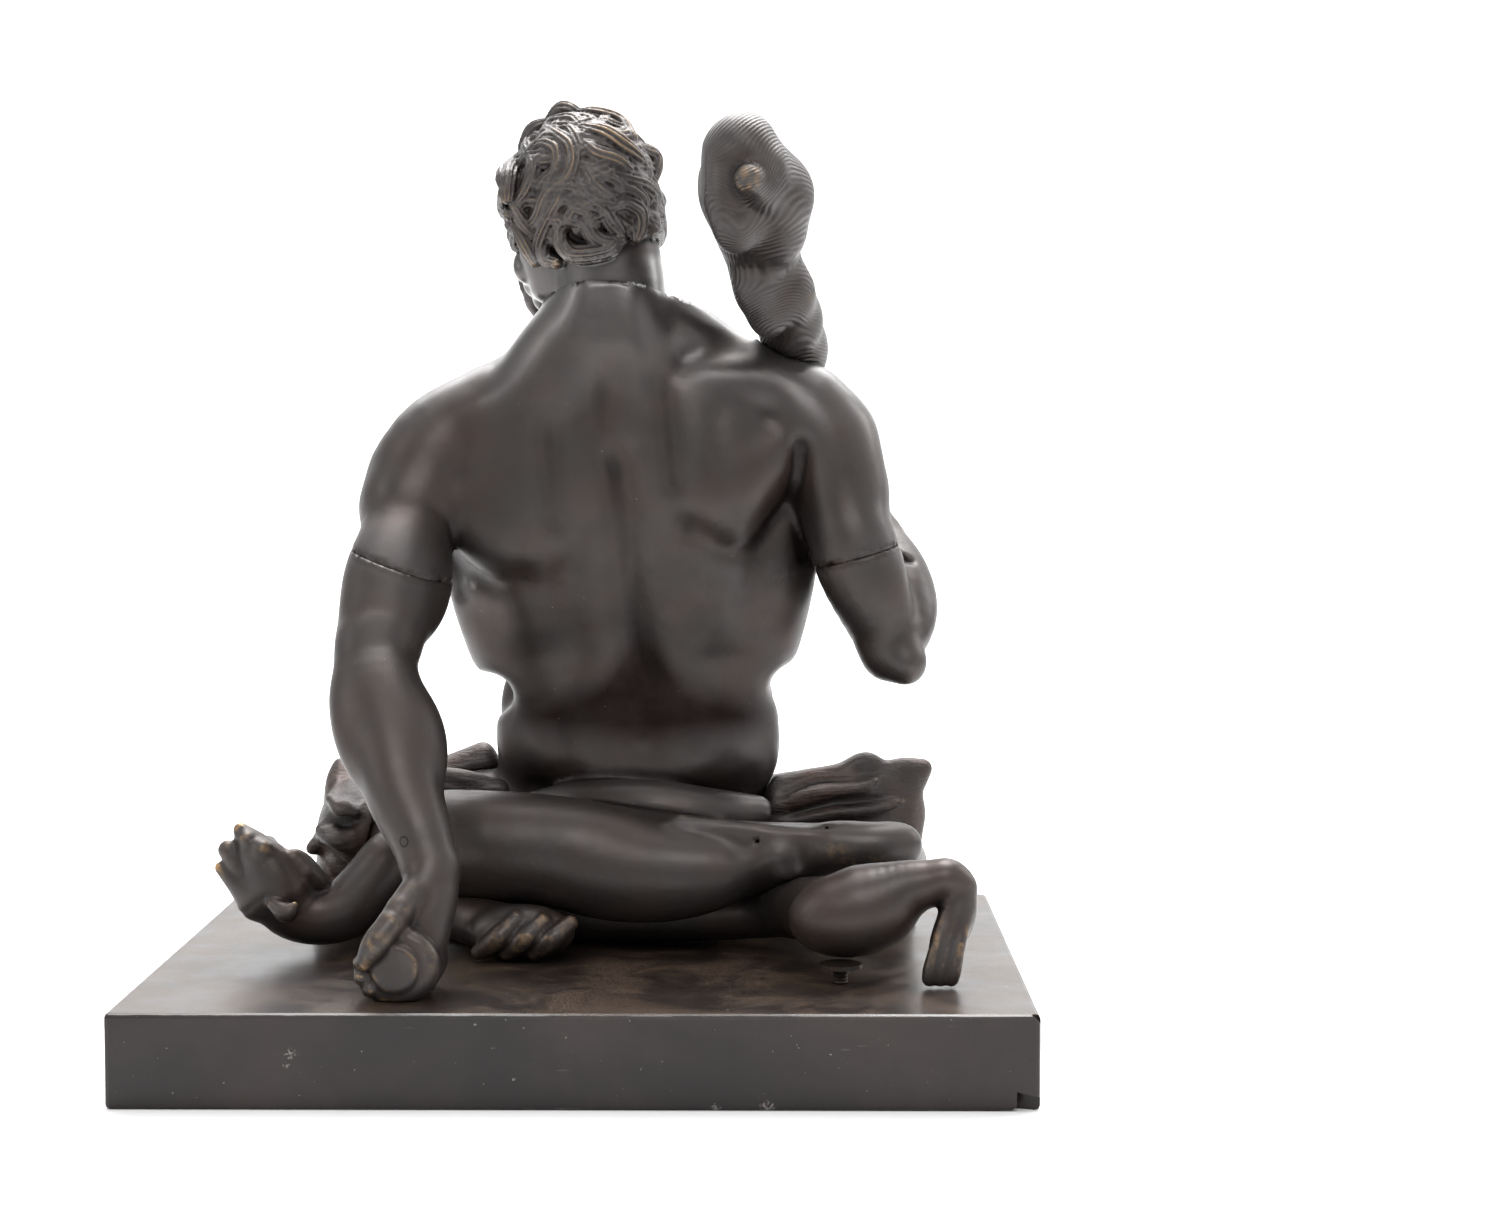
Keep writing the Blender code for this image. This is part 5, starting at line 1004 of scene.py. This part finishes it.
class Nodes:
    """A small helper for wiring a material's nodes."""

    def __init__(self, name):
        self.material = bpy.data.materials.new(name)
        self.material.use_nodes = True
        self.tree = self.material.node_tree
        self.shader = self.tree.nodes["Principled BSDF"]

    def put(self, value, socket):
        """Wires an output into the socket, or sets a plain value on it."""
        if isinstance(value, bpy.types.NodeSocket):
            self.tree.links.new(value, socket)
        else:
            socket.default_value = value

    def node(self, kind, inputs=(), out=0, **settings):
        """A new node with its settings and inputs; gives back one of its outputs."""
        made = self.tree.nodes.new(kind)
        for key, value in settings.items():
            setattr(made, key, value)
        for key, value in dict(inputs).items():
            self.put(value, made.inputs[key])
        return made.outputs[out]

    def place(self):
        return self.node("ShaderNodeTexCoord", out="Object")

    def attribute(self, name):
        return self.node("ShaderNodeAttribute", out="Fac", attribute_name=name)

    def noise(self, scale, detail=4.0, rough=0.55, warp=0.0, at=None):
        inputs = {"Vector": at or self.place(), "Scale": scale, "Detail": detail, "Roughness": rough,
                  "Distortion": warp}
        return self.node("ShaderNodeTexNoise", inputs)

    def math(self, operation, a, b=0.0):
        return self.node("ShaderNodeMath", {0: a, 1: b}, operation=operation)

    def ramp(self, value, low, high, first=0.0, last=1.0):
        """A soft step from first, where the value is low, to last, where it is high."""
        inputs = {"Value": value, "From Min": low, "From Max": high, "To Min": first, "To Max": last}
        return self.node("ShaderNodeMapRange", inputs, interpolation_type="SMOOTHSTEP")

    def mix(self, share, a, b):
        made = self.tree.nodes.new("ShaderNodeMix")
        made.data_type = "RGBA"
        self.put(share, made.inputs[0])
        self.put((*a, 1) if isinstance(a, tuple) else a, made.inputs[6])
        self.put((*b, 1) if isinstance(b, tuple) else b, made.inputs[7])
        return made.outputs[2]

    def bump(self, height, strength, distance):
        return self.node("ShaderNodeBump", {"Height": height, "Strength": strength, "Distance": distance})

    def finish(self, **inputs):
        """Puts a value or an output on each named socket of the shader, and gives back the material."""
        for key, value in inputs.items():
            value = (*value, 1) if isinstance(value, tuple) else value
            self.put(value, self.shader.inputs[key.replace("_", " ").title().replace("Ior", "IOR")])
        return self.material


# The colours of the bronze
DARK_PATINA = (0.032, 0.026, 0.024)
RED_PATINA = (0.046, 0.025, 0.018)
GREY_BLOOM_AND_HIGHLIGHT = (0.066, 0.060, 0.058)
RUBBED_GOLD = (0.46, 0.28, 0.12)
CREASE_DARK = (0.010, 0.006, 0.005)
# painted shade for the loins
LOIN_SHADE = (0.009, 0.005, 0.0045)
PALE_SPECK = (0.4, 0.36, 0.3)
# The middle and the radius of the round plug in the forearm, in metres
PLUG = (-0.091, -0.123, 0.128)
PLUG_RADIUS = 0.0028
# How deep the bump's full height is, in metres
CHASING_DEPTH = 0.0012


def patina(name, gold, gold_from, gold_to, red=0.5, bloom=0.4, gloss=0.46, pitch=0.0, cut=0.0, streaks=0.0,
           loins=0.0):
    """Bronze under a nearly black patina, rubbed to gold on its crests and darker in its creases.

    gold is how strong the rubbed metal is, on crests that stand between gold_from and gold_to mm proud.
    pitch and cut are the spacing in mm and the depth of the bark's lines, streaks is the depth of the
    hide's hairs, and loins is how strong the painted shade on the loins is.
    """
    n = Nodes(name)
    near, far = n.attribute("proud_near"), n.attribute("proud_far")
    cloud = n.noise(28, 5)
    speck = n.noise(260, 3)
    rubbed = n.attribute("rubbed")
    crest = n.math("ADD", near, n.math("MULTIPLY", n.math("SUBTRACT", speck, 0.5), 0.25))
    worn = n.math("MULTIPLY", n.ramp(crest, gold_from, gold_to), n.ramp(n.noise(17, 3), 0.42, 0.62, 0, gold))
    knocks = n.math("MULTIPLY", n.ramp(crest, 0.05, 0.55), n.ramp(n.noise(190, 4), 0.40, 0.62, 0, 0.8))
    worn = n.math("MAXIMUM", worn, n.math("MULTIPLY", rubbed, knocks))
    colour = n.mix(n.math("MULTIPLY", n.ramp(cloud, 0.40, 0.70), red), DARK_PATINA, RED_PATINA)
    colour = n.mix(n.math("MULTIPLY", n.ramp(far, -0.1, 0.9), bloom), colour, GREY_BLOOM_AND_HIGHLIGHT)
    # darker in the creases, where the skin lies below its neighbourhood
    colour = n.mix(n.ramp(n.math("ADD", near, far), -0.25, -1.1), colour, CREASE_DARK)
    polish_and_highlight = n.attribute("polish_and_highlight")
    # painted highlight: the neck's colour is lightened towards pale grey, besides its real wax
    colour = n.mix(n.math("MULTIPLY", polish_and_highlight, 0.6), colour, GREY_BLOOM_AND_HIGHLIGHT)
    wax = n.ramp(polish_and_highlight, 0, 1, 0.28, 1.0)
    sheen = 0.5
    # painted shade: the loins are darkened in the colour, with less wax and sheen
    if loins:
        uneven = n.ramp(n.noise(30, 4), 0.2, 0.7, 0.75 * loins, loins)
        shade = n.math("MULTIPLY", n.attribute("loins"), uneven)
        colour = n.mix(shade, colour, LOIN_SHADE)
        wax = n.math("MULTIPLY", wax, n.ramp(shade, 0, 1, 1.0, 0.0))
        sheen = n.ramp(shade, 0, 1, sheen, 0.05)
    colour = n.mix(worn, colour, RUBBED_GOLD)
    colour = n.mix(n.ramp(n.noise(520, 1), 0.80, 0.84, 0, 0.3), colour, PALE_SPECK)
    if loins:
        away = n.node("ShaderNodeVectorMath", {0: n.place(), 1: PLUG}, out="Value", operation="DISTANCE")
        ring = n.math("ABSOLUTE", n.math("SUBTRACT", away, PLUG_RADIUS))
        colour = n.mix(n.ramp(ring, 0.0007, 0.0003), colour, CREASE_DARK)
    rough = n.ramp(n.noise(60, 4), 0.3, 0.7, gloss - 0.05, gloss + 0.08)
    rough = n.math("ADD", rough, n.ramp(near, -0.1, -0.6, 0.0, 0.2))
    rough = n.math("SUBTRACT", rough, n.math("MULTIPLY", polish_and_highlight, 0.12))
    grain = n.math("ADD", n.math("MULTIPLY", n.noise(900, 2), 0.3), n.noise(140, 3))
    relief = 0.16
    if streaks:
        relief = 0.7
        stretched = n.node("ShaderNodeMapping", {"Vector": n.place(), "Rotation": (0, 0.5, 0),
                                                 "Scale": (0.2, 0.3, 1)}, vector_type="POINT")
        hairs = n.math("MULTIPLY", n.noise(430, 5, 0.62, 0.8, at=stretched), streaks)
        grain = n.math("ADD", grain, n.math("ADD", hairs, n.math("MULTIPLY", n.noise(75, 4), streaks)))
    if pitch:
        relief = 0.35
        phase = n.math("MULTIPLY", n.attribute("grain"), 2 * np.pi / pitch)
        lines = n.math("SINE", n.math("ADD", phase, n.math("MULTIPLY", n.noise(55, 3), 5.0)))
        strength = n.ramp(n.noise(38, 3), 0.35, 0.6, 0.35, 1.0)
        grain = n.math("ADD", grain, n.math("MULTIPLY", n.math("MULTIPLY", lines, strength), cut))
    normal = n.bump(grain, relief, CHASING_DEPTH)
    return n.finish(base_color=colour, metallic=0.72, roughness=rough, specular_ior_level=sheen,
                    normal=normal, coat_weight=wax, coat_roughness=n.ramp(polish_and_highlight, 0, 1, 0.36, 0.285))


# The colours of the marble: its stone, its brown top with the dust on it, and what is scratched or broken
BLACK_STONE = (0.014, 0.011, 0.011)
BROWN_STONE = (0.028, 0.021, 0.019)
TOP_STONE = (0.016, 0.010, 0.008)
BROWN_DUST = (0.16, 0.105, 0.068)
SCRATCH = (0.30, 0.28, 0.26)
WHITE_FLECK = (0.45, 0.43, 0.40)
PALE_NICK = (0.26, 0.24, 0.22)
WORN_EDGE = (0.17, 0.16, 0.15)
# Pale nicks on the slab's front: a place in metres, and a size
SLAB_NICKS = [((-0.141, -0.175, 0.029), 0.006), ((-0.143, -0.175, 0.023), 0.004),
              ((-0.029, -0.175, 0.016), 0.003), ((0.072, -0.175, 0.001), 0.006),
              ((0.098, -0.175, 0.001), 0.009), ((-0.048, -0.175, 0.044), 0.002)]


def black_marble():
    """A honed black marble slab: dark, brown with fine dust on top, scratched and specked with white."""
    n = Nodes("black_marble")
    at = n.place()
    cloud = n.noise(9, 6, 0.6, 0.4)
    fleck = n.ramp(n.noise(420, 2), 0.74, 0.80)
    streak = n.node("ShaderNodeMapping", {"Vector": at, "Rotation": (0, 0.25, 0.3), "Scale": (0.12, 1, 1)},
                    vector_type="POINT")
    scratch = n.ramp(n.noise(260, 3, 0.5, at=streak), 0.70, 0.78)
    patches = n.ramp(n.noise(22, 5, 0.6, 0.8), 0.38, 0.62)
    dust = n.math("MULTIPLY", patches, n.ramp(n.noise(900, 3, 0.8), 0.38, 0.72))
    height = n.node("ShaderNodeSeparateXYZ", {0: at}, out="Z")
    top = n.ramp(height, BASE_HEIGHT - 0.0012, BASE_HEIGHT - 0.0002)
    dust = n.math("MULTIPLY", dust, top)
    colour = n.mix(n.ramp(cloud, 0.35, 0.68), BLACK_STONE, BROWN_STONE)
    colour = n.mix(n.math("MULTIPLY", top, 0.6), colour, TOP_STONE)
    colour = n.mix(n.math("MULTIPLY", dust, 0.8), colour, BROWN_DUST)
    colour = n.mix(n.math("MULTIPLY", scratch, 0.12), colour, SCRATCH)
    colour = n.mix(n.math("MULTIPLY", fleck, 0.5), colour, WHITE_FLECK)
    crumbs = n.noise(650, 3, 0.7)
    for spot, reach in SLAB_NICKS:
        away = n.node("ShaderNodeVectorMath", {0: at, 1: spot}, out="Value", operation="DISTANCE")
        ragged = n.math("ADD", n.math("DIVIDE", away, reach), n.math("MULTIPLY", crumbs, 2.4))
        nick = n.ramp(ragged, 1.5, 1.3)
        colour = n.mix(n.math("MULTIPLY", nick, 0.55), colour, PALE_NICK)
    y = n.node("ShaderNodeSeparateXYZ", {0: at}, out="Y")
    rim = n.math("MAXIMUM", n.math("ABSOLUTE", n.math("ADD", y, HALF_DEPTH)),
                 n.math("ABSOLUTE", n.math("SUBTRACT", height, BASE_HEIGHT)))
    rim = n.math("MULTIPLY", n.ramp(rim, 0.0015, 0.0006), n.ramp(n.noise(48, 4), 0.42, 0.62))
    colour = n.mix(n.math("MULTIPLY", rim, 0.6), colour, WORN_EDGE)
    rough = n.ramp(n.noise(30, 5), 0.3, 0.7, 0.285, 0.34)
    rough = n.math("ADD", rough, n.math("MULTIPLY", dust, 0.2))
    normal = n.bump(n.noise(160, 5), 0.05, 0.001)
    return n.finish(base_color=colour, roughness=rough, specular_ior_level=n.ramp(top, 0, 1, 0.3, 0.5),
                    normal=normal)


def plain_steel():
    """The stud's dark old steel, with a little rust."""
    n = Nodes("old_steel")
    colour = n.mix(n.ramp(n.noise(300, 4), 0.4, 0.65), (0.030, 0.026, 0.023), (0.034, 0.018, 0.010))
    return n.finish(base_color=colour, metallic=0.6, roughness=0.5)


# The finish of each casting
SLOTS = {"torso": "body_bronze", "head": "hair_bronze", "left_arm": "body_bronze", "right_arm": "body_bronze",
         "club": "club_bronze", "hydra": "beast_bronze", "lion_skin": "hide_bronze"}
body_bronze = patina("body_bronze", 0.35, 0.55, 1.1, loins=0.88)
hair_bronze = patina("hair_bronze", 0.30, 0.20, 0.75, red=0.3, bloom=0.6)
club_bronze = patina("club_bronze", 0.45, 0.50, 0.95, red=0.3, bloom=0.6, gloss=0.44, pitch=2.1, cut=1.4)
beast_bronze = patina("beast_bronze", 0.7, 0.42, 0.95, red=0.8, bloom=0.3)
hide_bronze = patina("hide_bronze", 0.1, 0.45, 1.0, red=0.9, bloom=0.1, gloss=0.46, streaks=1.6)
METALS = {"body_bronze": body_bronze, "hair_bronze": hair_bronze, "club_bronze": club_bronze,
          "beast_bronze": beast_bronze, "hide_bronze": hide_bronze}

for name, clay in model_castings().items():
    made = skin(name + "_skin", clay)
    made.data.materials.append(METALS[SLOTS[name]])
    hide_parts(name)
    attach(made, "root")

for name, material in (("marble_base", black_marble()), ("fixing_stud", plain_steel())):
    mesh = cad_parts[name].data
    mesh.materials.clear()
    mesh.materials.append(material)


def pale_floor():
    """A plain pale floor that runs up to a backdrop behind the statue."""
    bend, far, wide, tall = 0.5, 1.6, 5.0, 3.5
    turn = np.linspace(0, np.pi / 2, 17)
    y = np.concatenate([[-4.0], far + bend * np.sin(turn), [far + bend]])
    z = np.concatenate([[0.0], bend - bend * np.cos(turn), [tall]])
    points = np.array([(x, a, b) for x in (-wide, wide) for a, b in zip(y, z)])
    k = np.arange(len(y) - 1)
    floor = place("pale_floor", points, np.stack([k, k + len(y), k + len(y) + 1, k + 1], 1))
    n = Nodes("pale_paper")
    floor.data.materials.append(n.finish(base_color=(0.86, 0.86, 0.86), roughness=0.9))
    return floor


def soft_light(name, place, target, size, power):
    """A white window of light at a place, turned towards its target."""
    light = bpy.data.lights.new(name, "AREA")
    light.shape = "RECTANGLE"
    light.size, light.size_y = size
    light.energy = power
    made = bpy.data.objects.new(name, light)
    made.location = place
    made.rotation_euler = (Vector(target) - Vector(place)).to_track_quat("-Z", "Y").to_euler()
    bpy.context.scene.collection.objects.link(made)
    return made


pale_floor()
soft_light("top", (0, 0.35, 2.6), (0, 0, 0.2), (2.4, 1.6), 44)
soft_light("high_window", (0.1, 0.8, 2.1), (0.02, 0.02, 0.35), (1.2, 0.6), 46)
soft_light("key", (0.15, -2.1, 2.1), (0, 0, 0.3), (1.8, 1.0), 34)
soft_light("left_window", (-2.0, -0.65, 1.3), (0, 0, 0.3), (0.5, 1.2), 7)
soft_light("right_window", (1.9, 0.85, 1.3), (0, 0, 0.3), (0.6, 1.2), 14)
soft_light("left_wall", (-2.4, -1.0, 1.2), (0, 0, 0.25), (2.8, 2.4), 10)
soft_light("right_wall", (2.4, -0.8, 1.2), (0, 0, 0.25), (2.8, 2.4), 14)
soft_light("behind", (0, 1.5, 1.9), (0, 0, 0.3), (3.0, 1.0), 40)

world = bpy.data.worlds.new("studio_air")
world.use_nodes = True
world.node_tree.nodes["Background"].inputs["Color"].default_value = (1, 1, 1, 1)
world.node_tree.nodes["Background"].inputs["Strength"].default_value = 0.55
bpy.context.scene.world = world

lens = bpy.data.cameras.new("camera")
lens.sensor_width = 36
lens.lens = 64.8
camera = bpy.data.objects.new("camera", lens)
camera.location = (0.1009, -1.5075, 0.3449)
camera.rotation_euler = (np.pi / 2 - 0.0698, 0, 0.0086)
bpy.context.scene.collection.objects.link(camera)
bpy.context.scene.camera = camera
bpy.context.scene.view_settings.view_transform = "Standard"
